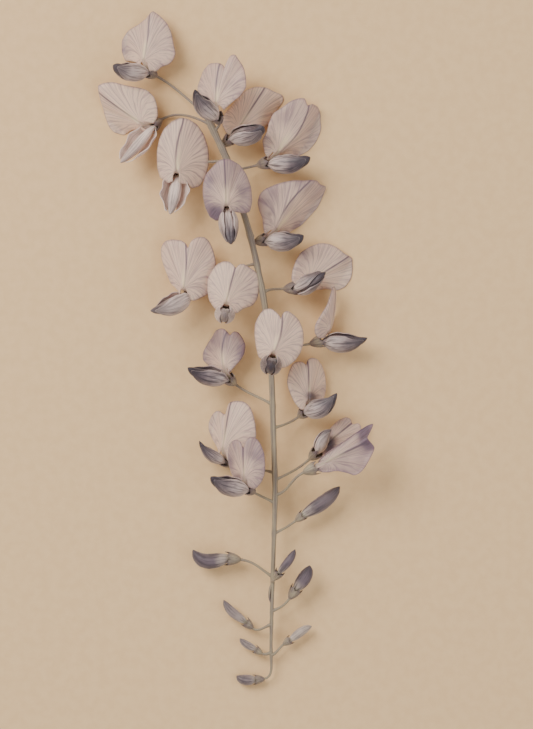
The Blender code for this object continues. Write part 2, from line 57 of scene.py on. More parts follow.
# %% Tables of blooms and buds
SHIFT = np.array([0.7, -0.7, 0.0])  # moves every place in the tables onto its plain solid
BLOOMS = {
    # mouth of the calyx (x, y, height); y where its stalk joins the rachis; how the stalk leaves
    # (turn, rise); calyx (turn, rise); keel (turn, rise, reach, height, width); banner (turn, rise,
    # turn of its face, length, width, fold, arch); looks (banner, keel, ruffle)
    "01": ((-34.3, 108.6, 6.5), 91, (140, 0), (154, 40), (173, 33, 17, 7.2, 6.8),
           (87, -4, 22, 22.8, 22.5, 24, 0.10), (0.34, 0.70, 0.8)),
    "02": ((-32.4, 88.0, 4.7), 87.5, (152, -5), (216, 35), (230, 22, 22, 7.2, 7.0),
           (147, 4, 26, 23.0, 21.5, 22, 0.10), (0.10, 0.0, 0.7)),
    "03": ((-7.4, 90.4, 17.5), 85, (60, 45), (115, 55), (134, 39, 17.5, 7.4, 7.2),
           (86, -6, 24, 21.8, 20.5, 22, 0.08), (0.38, 0.90, 1.0)),
    "04": ((-2.6, 82.0, 8.5), 78, (40, -10), (40, 34), (14, 32, 17.6, 8.8, 7.6),
           (56, -7, 11, 23.9, 19.3, 20, 0.10), (0.0, 0.80, 0.7)),
    "05": ((12.0, 72.8, 7.55), 69, (20, 0), (14, 24), (2, 20, 18.5, 7.4, 7.0),
           (53, 2, 32, 25.0, 25, 24, 0.10), (0.38, 1.05, 0.9)),
    "06": ((-22.4, 68.6, 8.5), 74, (200, -10), (247, 46), (258, 24, 18.5, 7.4, 8.0),
           (83, 6, 2, 21.0, 20.5, 20, 0.08), (0.26, 0.04, 0.6)),
    "07": ((-3.2, 55.4, 20.5), 58, (120, 60), (262, 50), (275, 22, 16.5, 7.2, 7.6),
           (92, 12, 4, 18.3, 18.5, 24, 0.10), (0.72, 0.70, 0.7)),
    "08": ((11.0, 42.4, 8.05), 44, (10, 0), (12, 26), (1, 20, 16.8, 7.4, 7.0),
           (46, 2, 28, 26.5, 25, 24, 0.10), (0.48, 0.95, 1.2)),
    "09": ((-18.2, 21.4, 8.4), 33, (190, -10), (214, 50), (205, 29, 19.4, 8.2, 7.0),
           (91, 2, 14, 20.8, 21, 24, 0.08), (0.24, 0.48, 0.7)),
    "10": ((-4.0, 15.4, 12.5), 25, (205, 0), (258, 74), (262, 80, 14, 6.8, 7.8),
           (81, 4, 0, 18.0, 19.5, 22, 0.10), (0.18, 0.30, 0.6)),
    "11": ((22.6, 23.4, 7.6), 21.6, (28, 10), (4, 24), (24, 32, 16, 7.4, 7.0),
           (30, -10, 16, 23.5, 21, 20, 0.10), (0.30, 0.80, 0.9)),
    "12": ((33.2, 2.6, 6.9), 0, (24, -20), (16, 6), (-2, 10, 19, 8.0, 6.8),
           (70, 4, 66, 18.5, 16, 20, 0.22), (0.30, 0.95, 0.6)),
    "13": ((14.2, -4.2, 17.5), -6, (90, 70), (270, 78), (262, 78, 14, 7.8, 8.4),
           (79, 8, 0, 18.6, 19, 22, 0.10), (0.16, 0.80, 0.6)),
    "14": ((-2.8, -12.4, 6.4), -22.5, (150, 10), (140, 40), (168, 20, 18, 7.4, 7.0),
           (98, -2, 26, 18.0, 19.5, 24, 0.10), (0.72, 1.12, 0.8)),
    "15": ((27.0, -25.4, 8.8), -31.7, (14, 0), (40, 47), (19, 30, 16.5, 7.4, 7.2),
           (87, 0, 27, 19.8, 17.5, 22, 0.08), (0.08, 0.95, 0.7)),
    "16": ((-3.8, -44.8, 4.8), -49.5, (160, -20), (146, 46), (149, 20, 14.2, 4.6, 4.8),
           (83, 0, 34, 22.0, 19.5, 20, 0.08), (0.22, 1.00, 0.9)),
    "17": ((4.9, -55.6, 14.5), -61.3, (150, 10), (146, 48), (166, 26, 17.5, 7.4, 7.2),
           (93, 8, 26, 18.5, 16.5, 24, 0.10), (0.68, 0.95, 0.9)),
    "18": ((31.6, -41.6, 6.5), -52.2, (25, 10), (44, 34), (60, 24, 12, 5.2, 5.2),
           (40, -2, 6, 19.0, 14, 12, 0.04), (0.16, 0.50, 0.7)),
    "19": ((30.4, -47.6, 16.0), -58.1, (10, 10), (22, -8), (14, -14, 15, 5.0, 5.0),
           (26, 4, 170, 22.8, 15.5, -22, -0.04), (0.72, 0.80, 1.3)),
}
BUDS = {
    # mouth; joins; leaves; calyx; size of the calyx; body (turn, rise, length, thickness, bend);
    # depth of colour
    "01": ((25.8, -66.6, 6.6), -73.3, (25, 0), (38, 0), 0.72, (38, 0, 19, 4.9, -0.10), 0.95),
    "02": ((-2.4, -83.4, 5.2), -90.4, (150, 0), (176, 0), 1.0, (166, 0, 15, 5.2, 0.44), 1.0),
    "03": ((16.8, -89.0, 12.0), -92.6, (100, 50), (58, 20), 0.72, (56, 4, 11.4, 2.9, -0.12), 1.0),
    "04": ((23.2, -96.0, 6.4), -104, (20, 0), (56, 0), 0.9, (60, 0, 11.5, 4.6, -0.16), 1.0),
    "05": ((4.4, -109.0, 3.6), -109.3, (196, 0), (138, 0), 0.72, (135, 0, 13, 3.1, 0.16), 0.75),
    "06": ((8.2, -119.6, 3.2), -120.6, (184, 0), (146, 0), 0.6, (145, 0, 8, 2.5, 0.14), 0.65),
    "07": ((20.9, -115.8, 3.6), -121.4, (12, 0), (34, 0), 0.66, (32, 0, 10.5, 3.0, 0.12), 0.30),
    "08": ((8.2, -131.2, 2.4), None, None, (184, -2), 0.72, (169, -2, 8.0, 3.6, 0.24), 0.85),
}
RACHIS = np.array([
    # x, y, height, radius
    (-11.6, 96.5, 10.5, 1.30), (-11.2, 91.0, 11.3, 1.30), (-8.4, 84.5, 12.0, 1.30),
    (-3.2, 73.1, 12.6, 1.28), (0.8, 60.1, 12.6, 1.26), (5.5, 44.3, 12.2, 1.25),
    (9.1, 28.6, 11.8, 1.23), (12.0, 12.0, 11.5, 1.20), (13.9, -10.0, 11.0, 1.16),
    (14.8, -36.0, 10.4, 1.12), (15.4, -56.1, 9.6, 1.05), (14.9, -76.0, 8.2, 0.92),
    (14.2, -99.5, 6.0, 0.78), (13.8, -117.0, 4.2, 0.64), (13.9, -127.0, 3.0, 0.52),
    (12.6, -130.2, 2.5, 0.46), (10.6, -131.0, 2.3, 0.42),
])
print(len(BLOOMS), "blooms and", len(BUDS), "buds on a rachis of", len(RACHIS), "knots")

# %% [markdown]
# ## Camera
# The raceme lies on the table and is seen from straight above. A short lens would make the
# highest petals look larger than the rest, so the camera stands far off with a long lens: from
# 2.4 m the 31 mm of height change the scale by hardly more than one percent.

# %% Camera
VIEW_CENTRE = (0.0127, -0.0074, 0.010)
VIEW_HEIGHT = 0.2872
DISTANCE = 2.4

camera_data = bpy.data.cameras.new("camera")
camera_data.sensor_width = 36
camera_data.lens = camera_data.sensor_width * DISTANCE / VIEW_HEIGHT
camera_data.clip_end = 20
camera = bpy.data.objects.new("camera", camera_data)
camera.location = (VIEW_CENTRE[0], VIEW_CENTRE[1], VIEW_CENTRE[2] + DISTANCE)
bpy.context.scene.collection.objects.link(camera)
bpy.context.scene.camera = camera
print("lens:", round(camera_data.lens, 1), "mm")

# %% [markdown]
# ## Directions and curves
# A few helpers turn the table's headings into arrows and its control points into curves. They
# work on whole arrays at a time, because a petal has thousands of points and a Python loop over
# them would be slow.

# %% Helpers for directions and curves
MM = 0.001
UP = np.array([0.0, 0.0, 1.0])


def placed(place):
    """A place from the tables, moved onto its plain solid."""
    return np.array(place) + SHIFT


def degrees_off(turns, at):
    """How far angles are from another one, in degrees from 0 to 180."""
    return np.abs((turns - at + 180) % 360 - 180)


def unit(v):
    """An arrow, or an array of arrows, at length one."""
    v = np.asarray(v, float)
    return v / np.maximum(np.linalg.norm(v, axis=-1, keepdims=True), 1e-9)


def heading(turn, rise):
    """The arrow with this heading in the XY plane and this rise out of it."""
    a, b = math.radians(turn), math.radians(rise)
    return np.array([math.cos(b) * math.cos(a), math.cos(b) * math.sin(a), math.sin(b)])


def square_to(v, axis):
    """What is left of an arrow when its share along an axis is taken away."""
    return unit(v - np.sum(v * axis, -1, keepdims=True) * axis)


def bezier(points, shares):
    """Points of a Bezier curve at these shares of it."""
    shares = np.atleast_1d(shares)[:, None]
    points = [np.asarray(p, float)[None] for p in points]
    while len(points) > 1:
        points = [a * (1 - shares) + b * shares for a, b in zip(points, points[1:])]
    return points[0]


def spline(knots, steps):
    """Points of a smooth curve that runs through the knots."""
    ends = np.vstack([2 * knots[0] - knots[1], knots, 2 * knots[-1] - knots[-2]])
    points = []
    for a, b, c, d in zip(ends, ends[1:], ends[2:], ends[3:]):
        t = np.arange(steps)[:, None] / steps
        points.append(0.5 * (2 * b + (c - a) * t + (2 * a - 5 * b + 4 * c - d) * t ** 2
                             + (3 * b - a - 3 * c + d) * t ** 3))
    return np.vstack(points + [knots[-1:]])


def smooth_table(table, values, softness):
    """Reads a table of (key, value) rows as a soft curve."""
    table = np.asarray(table, float)
    keys = np.linspace(table[0, 0], table[-1, 0], 400)
    step = keys[1] - keys[0]
    reach = max(1, int(3 * softness / step))
    kernel = np.exp(-0.5 * (np.arange(-reach, reach + 1) * step / softness) ** 2)
    line = np.pad(np.interp(keys, table[:, 0], table[:, 1]), reach, mode="edge")
    return np.interp(values, keys, np.convolve(line, kernel / kernel.sum(), "valid"))


print("a quarter turn up from +X:", heading(0, 90).round(3))

# %% [markdown]
# ## Thin shells
# A petal is a sheet with two faces and a rim. The helper takes a grid of points on the middle of
# the sheet, pushes a copy out to each side and sews the rim shut, so the mesh is closed and its
# faces look outward. Solidify would do that too, but here the thickness can thin out towards
# the margin, as a real petal does. Each point also keeps a few named numbers, such as how far it
# is from the claw: the materials read these to paint veins that follow the petal.

# %% Shells and tubes from grids of points
def marks_on(grid, **marks):
    """Named numbers spread over a grid of points, from one value, a row or a column of them."""
    return {name: np.broadcast_to(values, grid.shape[:2]) for name, values in marks.items()}


TABLE_GAP = 0.03  # millimetres between the table and the lowest points


def new_mesh(name, points, faces, marks):
    """A smooth mesh from points in millimetres, with its marks; none sink into the table."""
    points = points.copy()
    points[:, 2] = np.maximum(points[:, 2], TABLE_GAP)
    mesh = bpy.data.meshes.new(name)
    mesh.from_pydata((points * MM).tolist(), [], faces)
    mesh.shade_smooth()
    for key, values in marks.items():
        data = mesh.attributes.new(key, "FLOAT", "POINT").data
        data.foreach_set("value", np.asarray(values, np.float32))
    mesh.update()
    return mesh


def grid_faces(rows, cols, first=0, flip=False):
    """Four-sided faces over a grid of points."""
    faces = []
    for i in range(rows - 1):
        for j in range(cols - 1):
            a = first + i * cols + j
            face = (a, a + 1, a + cols + 1, a + cols)
            faces.append(face[::-1] if flip else face)
    return faces


def shell(grid, thickness, marks):
    """Points, faces and marks of a closed sheet around a grid of points."""
    rows, cols = grid.shape[:2]
    normal = unit(np.cross(np.gradient(grid, axis=1), np.gradient(grid, axis=0)))
    half = normal * np.broadcast_to(thickness, (rows, cols))[..., None] / 2
    points = np.vstack([(grid + half).reshape(-1, 3), (grid - half).reshape(-1, 3)])
    count = rows * cols
    faces = grid_faces(rows, cols) + grid_faces(rows, cols, count, flip=True)
    rim = list(range(cols)) + [i * cols + cols - 1 for i in range(1, rows)]
    rim += [(rows - 1) * cols + j for j in range(cols - 2, -1, -1)]
    rim += [i * cols for i in range(rows - 2, 0, -1)]
    for a, b in zip(rim, rim[1:] + rim[:1]):
        faces.append((b, a, a + count, b + count))
    return points, faces, {k: np.tile(np.asarray(v).ravel(), 2) for k, v in marks.items()}


def closed_tube(rings, marks, foot, tip):
    """Points, faces and marks of rings of points, closed to a point at both ends."""
    rows, cols = rings.shape[:2]
    points = np.vstack([rings.reshape(-1, 3), [foot], [tip]])
    faces = []
    for i in range(rows - 1):
        for j in range(cols):
            a, b = i * cols + j, i * cols + (j + 1) % cols
            faces.append((a, b, b + cols, a + cols))
    last = (rows - 1) * cols
    for j in range(cols):
        faces.append(((j + 1) % cols, j, rows * cols))
        faces.append((last + j, last + (j + 1) % cols, rows * cols + 1))
    ends = {k: np.append(np.asarray(v).ravel(), [v[0, 0], v[-1, 0]]) for k, v in marks.items()}
    return points, faces, ends


def join(parts):
    """Several (points, faces, marks) as one."""
    points, faces, marks, first = [], [], {}, 0
    for p, f, m in parts:
        points.append(p)
        faces += [tuple(first + i for i in face) for face in f]
        for key, values in m.items():
            marks.setdefault(key, []).append(values)
        first += len(p)
    return np.vstack(points), faces, {k: np.concatenate(v) for k, v in marks.items()}


def add_object(name, data):
    """A new object in the scene."""
    thing = bpy.data.objects.new(name, data)
    bpy.context.scene.collection.objects.link(thing)
    return thing


def add_piece(name, mesh, material, node):
    """A finished piece: it rides on the raceme and stands for its plain solid."""
    piece = add_object(name, mesh)
    if material is not None:
        mesh.materials.append(material)
    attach(piece, "root")
    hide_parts(node)


def make_pieces(table, shape, material, name, kind):
    """One piece for each row of a table; it stands for the plain solid with its number."""
    for number, row in table.items():
        mesh = new_mesh(f"{name}_{number}", *shape(number, row))
        add_piece(f"{name}_{number}", mesh, material, f"{kind}_{number}")
    print(f"{name}: {len(table)} pieces of {len(mesh.polygons)} faces")


flat = np.stack([*np.meshgrid(range(3), range(3)), np.zeros((3, 3))], axis=-1)
print("a shell around a grid of 3 by 3 points has", len(shell(flat, 1, {})[1]), "faces")

# %% [markdown]
# ## Shared effects for the materials
# Living surfaces share three effects: fine lines that run the way the tissue grew, veins that
# fan out from the claw, and a soft cloudiness. Each is a shader node group with named inputs, so
# that a petal, a bud and a stalk can use the same group with their own numbers.

# %% Helpers for node trees
def srgb(r, g, b):
    """A colour as it is picked on a screen, from 0 to 255, in the linear values nodes use."""
    shares = [c / 255 for c in (r, g, b)]
    return (*[c / 12.92 if c <= 0.04045 else ((c + 0.055) / 1.055) ** 2.4 for c in shares], 1.0)


class Nodes:
    """Adds nodes to a tree with few words: each call makes one node and wires its inputs."""

    def __init__(self, tree):
        self.tree = tree

    def feed(self, value, socket):
        """Wires another node's output to a socket, or sets the socket to a plain value."""
        if isinstance(value, bpy.types.NodeSocket):
            self.tree.links.new(value, socket)
        else:
            socket.default_value = value

    def add(self, kind, inputs=(), **settings):
        node = self.tree.nodes.new(kind)
        for key, value in settings.items():
            setattr(node, key, value)
        for key, value in dict(inputs).items():
            self.feed(value, node.inputs[key])
        return node

    def math(self, operation, a, b=0.5, c=0.5, clamp=False):
        settings = {"operation": operation, "use_clamp": clamp}
        return self.add("ShaderNodeMath", {0: a, 1: b, 2: c}, **settings).outputs[0]

    def times(self, a, b, plus=None, clamp=False):
        """a times b, plus a third value if there is one."""
        if plus is None:
            return self.math("MULTIPLY", a, b, clamp=clamp)
        return self.math("MULTIPLY_ADD", a, b, plus, clamp)

    def vector(self, x=0.0, y=0.0, z=0.0):
        return self.add("ShaderNodeCombineXYZ", {0: x, 1: y, 2: z}).outputs[0]

    def step(self, value, low, high, to_low=0.0, to_high=1.0):
        """A soft ramp from one value to another while the input goes from low to high."""
        inputs = {"Value": value, "From Min": low, "From Max": high, "To Min": to_low,
                  "To Max": to_high}
        return self.add("ShaderNodeMapRange", inputs, interpolation_type="SMOOTHSTEP").outputs[0]

    def noise(self, vector, scale, detail=2.0, roughness=0.5):
        inputs = {"Vector": vector, "Scale": scale, "Detail": detail, "Roughness": roughness}
        return self.add("ShaderNodeTexNoise", inputs).outputs[0]

    def mix(self, factor, a, b):
        return self.add("ShaderNodeMix", {0: factor, 6: a, 7: b}, data_type="RGBA").outputs[2]

    def scale(self, vector, amount):
        inputs = {0: vector, "Scale": amount}
        return self.add("ShaderNodeVectorMath", inputs, operation="SCALE").outputs[0]

    def marks(self, *names):
        """Numbers that the mesh keeps on its points."""
        kind = "ShaderNodeAttribute"
        return [self.add(kind, attribute_name=name).outputs["Fac"] for name in names]

    def group(self, group, **inputs):
        return self.add("ShaderNodeGroup", inputs, node_tree=group).outputs


def new_group(name, inputs, outputs, kind="Shader"):
    """An empty node group with named sockets; returns it, its helper and its two ends.

    An input is a plain number, or its sort and its value; outputs are numbers or geometry.
    """
    group = bpy.data.node_groups.new(name, f"{kind}NodeTree")
    for key, value in inputs.items():
        sort, value = value if isinstance(value, tuple) else ("Float", value)
        socket = group.interface.new_socket(key, in_out="INPUT", socket_type=f"NodeSocket{sort}")
        if value is not None:
            socket.default_value = value
    sort = "Geometry" if kind == "Geometry" else "Float"
    for key in outputs:
        group.interface.new_socket(key, in_out="OUTPUT", socket_type=f"NodeSocket{sort}")
    n = Nodes(group)
    return group, n, n.add("NodeGroupInput").outputs, n.add("NodeGroupOutput").inputs


print("white is", srgb(255, 255, 255))

# %% Group: fine lines along the growth
growth_lines, n, i, o = new_group(
    "growth lines",
    {"Across": 0, "Along": 0, "Lines": 30, "Stretch": 2, "Seed": 0, "Low": 0.45, "High": 0.62},
    ["Mask", "Height"])
place = n.vector(n.times(i["Across"], i["Lines"]), n.times(i["Along"], i["Stretch"]), i["Seed"])
raw = n.noise(place, 1.0, 3.0, 0.6)
n.feed(n.step(raw, i["Low"], i["High"]), o["Mask"])
n.feed(raw, o["Height"])
print("group:", growth_lines.name)

# %% [markdown]
# The veins of a banner start together at the claw and part as they run to the margin. On a
# petal marked with its angle, such a vein is simply a line of constant angle, so the pattern is
# a saw-tooth of the angle with a little wander. Half-way out a second, finer set fades in
# between the first, where the real veins fork.

# %% Group: forking veins
fan_veins, n, i, o = new_group(
    "fan veins",
    {"Across": 0, "Along": 0, "Count": 9, "Wander": 0.05, "Width": 0.2, "Seed": 0}, ["Mask"])
place = n.vector(n.times(i["Across"], 2.5), n.times(i["Along"], 2.2), i["Seed"])
sway = n.math("SUBTRACT", n.noise(place, 1.0, 2.0), 0.5)
turned = n.times(sway, i["Wander"], i["Across"])


def vein_set(factor, width):
    """Lines of constant angle, their number being the count times this factor."""
    saw = n.math("PINGPONG", n.times(turned, n.times(i["Count"], factor)), 0.5)
    return n.step(n.times(saw, 2.0), 0.0, width, 1.0, 0.0)


coarse = vein_set(1.0, i["Width"])
fine = n.times(vein_set(2.0, n.times(i["Width"], 1.4)), n.step(i["Along"], 0.30, 0.75, 0.0, 0.7))
n.feed(n.math("MAXIMUM", coarse, fine), o["Mask"])
print("group:", fan_veins.name)

# %% Group: soft clouds of tone
clouds, n, i, o = new_group(
    "soft clouds", {"Scale": 90, "Grain": 700, "Seed": 0}, ["Value", "Grain Value"])
spot = n.add("ShaderNodeTexCoord").outputs["Object"]
away = n.vector(i["Seed"])
moved = n.add("ShaderNodeVectorMath", {0: spot, 1: away}, operation="ADD").outputs[0]
n.feed(n.noise(moved, i["Scale"], 3.0), o["Value"])
n.feed(n.noise(moved, i["Grain"], 2.0), o["Grain Value"])
print("group:", clouds.name)

# %% [markdown]
# ## Banner petal finish
# The banner is the broad upright petal. It is pale lilac, deeper towards its margin, with a
# cream patch over the claw that guides bees, and its veins are darker violet. The colour is
# mixed in the order in which one would paint it: ground, deeper margin, veins, fine lines, the
# cream patch, which keeps most of the violet away, and last a painted shade along the crease
# and a thin line at the margin. Each petal carries a mark called tone, so one material serves
# pale and deep blooms alike; on a banner the tone also holds patches of painted shade and
# painted light. Two helpers come first: one lets any mark wander a little with the clouds,
# the other gives every petal its colour, its roughness and its bumps in the same way.

# %% Banner material
def new_material(name, sheen=0.0, glow=0.0, roughness=0.5):
    """A material; returns it, its node helper and its shader."""
    material = bpy.data.materials.new(name)
    material.use_nodes = True
    shader = material.node_tree.nodes["Principled BSDF"]
    for key, value in {"Roughness": roughness, "Sheen Weight": sheen, "Subsurface Weight": glow,
                       "Subsurface Radius": (1.0, 0.6, 1.0), "Subsurface Scale": MM}.items():
        shader.inputs[key].default_value = value
    return material, Nodes(material.node_tree), shader


def drift(n, mark, cloud, amount):
    """A mark that wanders with the clouds, so that no edge of colour runs straight."""
    return n.times(n.math("SUBTRACT", cloud["Value"], 0.5), amount, mark)


def dress(n, shader, colour, grain, rough, relief, bump):
    """Feeds a shader its colour, a roughness that follows the grain, and its bumps.

    rough is (span, least) and bump is (share of the grain, strength, height in metres).
    """
    n.feed(colour, shader.inputs["Base Color"])
    n.feed(n.times(grain, *rough), shader.inputs["Roughness"])
    share, strength, height = bump
    inputs = {"Height": n.times(grain, share, relief), "Strength": strength, "Distance": height}
    n.feed(n.add("ShaderNodeBump", inputs).outputs[0], shader.inputs["Normal"])


banner_petal, n, shader = new_material("banner petal", sheen=0.25, glow=0.2)
ray, reach, tone, seed, crease = n.marks("ray", "reach", "tone", "seed", "crease")
veins = n.group(
    fan_veins, Across=ray, Along=reach, Count=7.0, Wander=0.10, Width=0.22, Seed=seed)["Mask"]
lines = n.group(growth_lines, Across=ray, Along=reach, Lines=38.0, Stretch=1.6, Seed=seed,
                Low=0.44, High=0.66)
cloud = n.group(clouds, Scale=120.0, Grain=1500.0, Seed=seed)

outer = n.step(drift(n, reach, cloud, 0.5), 0.25, 1.05)
depth = n.times(n.times(outer, 0.5, 0.5), tone, clamp=True)
ground = n.mix(depth, srgb(230, 197, 171), srgb(133, 110, 114))
deepest = n.step(n.times(cloud["Value"], 0.8, tone), 1.15, 1.9, 0.0, 0.85)
ground = n.mix(deepest, ground, srgb(78, 62, 76))
veined = n.mix(n.times(veins, 0.42), ground, srgb(112, 88, 110))
line_depth = n.times(tone, 0.40, 0.34, clamp=True)
lined = n.mix(n.times(lines["Mask"], line_depth), veined, srgb(118, 97, 108))
near = n.times(n.math("ABSOLUTE", ray), 1.2, drift(n, reach, cloud, 0.4))
patch = n.times(n.step(near, 0.10, 0.60, 0.85, 0.0), n.step(tone, 0.75, 1.1, 1.0, 0.15))
guided = n.mix(patch, lined, srgb(233, 210, 170))
# painted shade: a dark line is painted along the crease, where the blade folds
fold = n.step(n.math("ABSOLUTE", crease), 0.10, 0.60, 1.0, 0.0)
strength = n.step(n.times(cloud["Value"], 0.6, reach), 0.35, 0.9, 0.4, 0.85)
with_crease_shade = n.mix(n.times(fold, strength), guided, srgb(88, 70, 84))
colour = n.mix(n.step(reach, 0.95, 1.0, 0.0, 0.5), with_crease_shade, srgb(104, 84, 96))
relief = n.times(lines["Height"], 0.5, n.times(veins, -0.3))
dress(n, shader, colour, cloud["Grain Value"], (0.25, 0.42), relief, (0.15, 0.38, 0.0002))
print("material:", banner_petal.name)

# %% [markdown]
# ## Wings and keel finish
# The wings close round the keel like two hands. They are the darkest part of a bloom: deep
# violet towards the tip and paler at the claw, with a satin gloss, and a pale painted highlight
# runs along their open edges.

# %% Wing and keel material
def shade_along(n, place, tone, pale, layers):
    """Lays shades over a pale ground along a petal; a layer is (start, end, low, high, shade)."""
    colour = pale
    for start, end, low, high, shade in layers:
        amount = n.times(n.step(place, start, end, low, high), tone, clamp=True)
        colour = n.mix(amount, colour, shade)
    return colour


boat_petal, n, shader = new_material("wing and keel petal", sheen=0.2, glow=0.1)
along, around, edge, tone, seed = n.marks("along", "around", "edge", "tone", "seed")
lines = n.group(growth_lines, Across=around, Along=along, Lines=17.0, Stretch=2.2, Seed=seed,
                Low=0.43, High=0.62)
cloud = n.group(clouds, Scale=260.0, Grain=1800.0, Seed=seed)
ground = shade_along(n, drift(n, along, cloud, 0.35), tone, srgb(236, 211, 198), (
    (0.15, 0.75, 0.32, 0.82, srgb(98, 82, 91)), (0.50, 0.94, 0.0, 0.92, srgb(54, 42, 52))))
lined = n.mix(n.times(lines["Mask"], n.times(tone, 0.5, 0.28)), ground, srgb(52, 41, 50))
# painted highlight: a pale band along the wings' open edges, strongest towards the claw
painted_edge_highlight = n.times(n.step(edge, 0.84, 0.98), n.step(along, 0.45, 0.9, 0.65, 0.15))
colour = n.mix(painted_edge_highlight, lined, srgb(206, 184, 176))
relief = n.times(lines["Height"], 0.8)
dress(n, shader, colour, cloud["Grain Value"], (0.2, 0.34), relief, (0.2, 0.6, 0.0004))
print("material:", boat_petal.name)

# %% [markdown]
# ## Bud, stalk and calyx finishes
# A closed bud shows only the back of its banner, which is downy and greyer than the open petal,
# dark at the tip and pale green where it leaves the calyx. Rachis and stalks are green with
# brown-violet streaks, and the calyx is the same green flushed with violet towards its teeth.

# %% Bud, stalk and calyx materials
bud_skin, n, shader = new_material("bud skin", sheen=0.35)
along, around, tone, seed = n.marks("along", "around", "tone", "seed")
lines = n.group(growth_lines, Across=around, Along=along, Lines=9.0, Stretch=1.8, Seed=seed,
                Low=0.43, High=0.62)
cloud = n.group(clouds, Scale=300.0, Grain=2200.0, Seed=seed)
place = drift(n, along, cloud, 0.4)
ground = shade_along(n, place, tone, srgb(210, 190, 172), (
    (0.05, 0.45, 0.4, 1.0, srgb(98, 82, 90)), (0.6, 1.0, 0.0, 0.7, srgb(62, 50, 58))))
lined = n.mix(n.times(lines["Mask"], n.times(tone, 0.5, 0.28)), ground, srgb(58, 47, 55))
colour = n.mix(n.step(place, 0.02, 0.18, 0.35, 0.0), lined, srgb(158, 156, 122))
relief = n.times(lines["Height"], 0.7)
dress(n, shader, colour, cloud["Grain Value"], (0.25, 0.45), relief, (0.3, 0.7, 0.0004))


def green_skin(name, green, violet, dark, flush, count, stretch):
    """Stem tissue: green, streaked along its length, and flushed with violet in clouds."""
    material, n, shader = new_material(name, sheen=0.15)
    along, around, seed = n.marks("along", "around", "seed")
    lines = n.group(growth_lines, Across=around, Along=along, Lines=count, Stretch=stretch,
                    Seed=seed, Low=0.42, High=0.62)
    cloud = n.group(clouds, Scale=220.0, Grain=2400.0, Seed=seed)
    spot = n.add("ShaderNodeTexCoord").outputs["Object"]
    up_the_raceme = n.add("ShaderNodeSeparateXYZ", {0: spot}).outputs["Y"]
    # the violet flush is stronger towards the upper, cut end of the raceme
    upper_flush = n.step(up_the_raceme, -0.02, 0.06, 0.0, 0.3)
    flushed = n.mix(n.times(n.step(cloud["Value"], 0.35, 0.7), flush, upper_flush), green, violet)
    if flush > 0.5:  # a calyx is also violet towards its teeth
        flushed = n.mix(n.step(along, 0.40, 1.0), flushed, violet)
    lined = n.mix(n.times(lines["Mask"], 0.62), flushed, dark)
    relief = n.times(lines["Height"], 0.8)
    dress(n, shader, lined, cloud["Grain Value"], (0.3, 0.45), relief, (0.25, 0.45, 0.0004))
    return material


stalk_skin = green_skin(
    "stalk skin", srgb(162, 147, 118), srgb(130, 112, 106), srgb(84, 72, 74), 0.45, 9.0, 0.7)
calyx_skin = green_skin(
    "calyx skin", srgb(164, 148, 120), srgb(108, 90, 94), srgb(88, 75, 76), 0.7, 10.0, 1.2)
down_hair, n, shader = new_material("silky down", sheen=0.4)
pale = n.step(n.group(clouds, Scale=400.0, Grain=900.0, Seed=3.0)["Value"], 0.3, 0.7)
n.feed(n.mix(pale, srgb(196, 190, 176), srgb(222, 216, 210)), shader.inputs["Base Color"])
print("materials:", bud_skin.name, stalk_skin.name, calyx_skin.name, down_hair.name, sep=", ")

# %% [markdown]
# ## Banners
# A banner starts as a strap in the calyx, the claw, and opens into a broad blade with a crease
# down its middle. Its outline, with the notch or the point at its apex, is read from a small
# table of angles and reaches and then smoothed. The blade's halves swing back from the crease,
# the lower lobes hang, and a few sine waves that grow towards the margin make the ruffle. Two
# low bumps at the base are the calluses that a real banner has beside its crease.

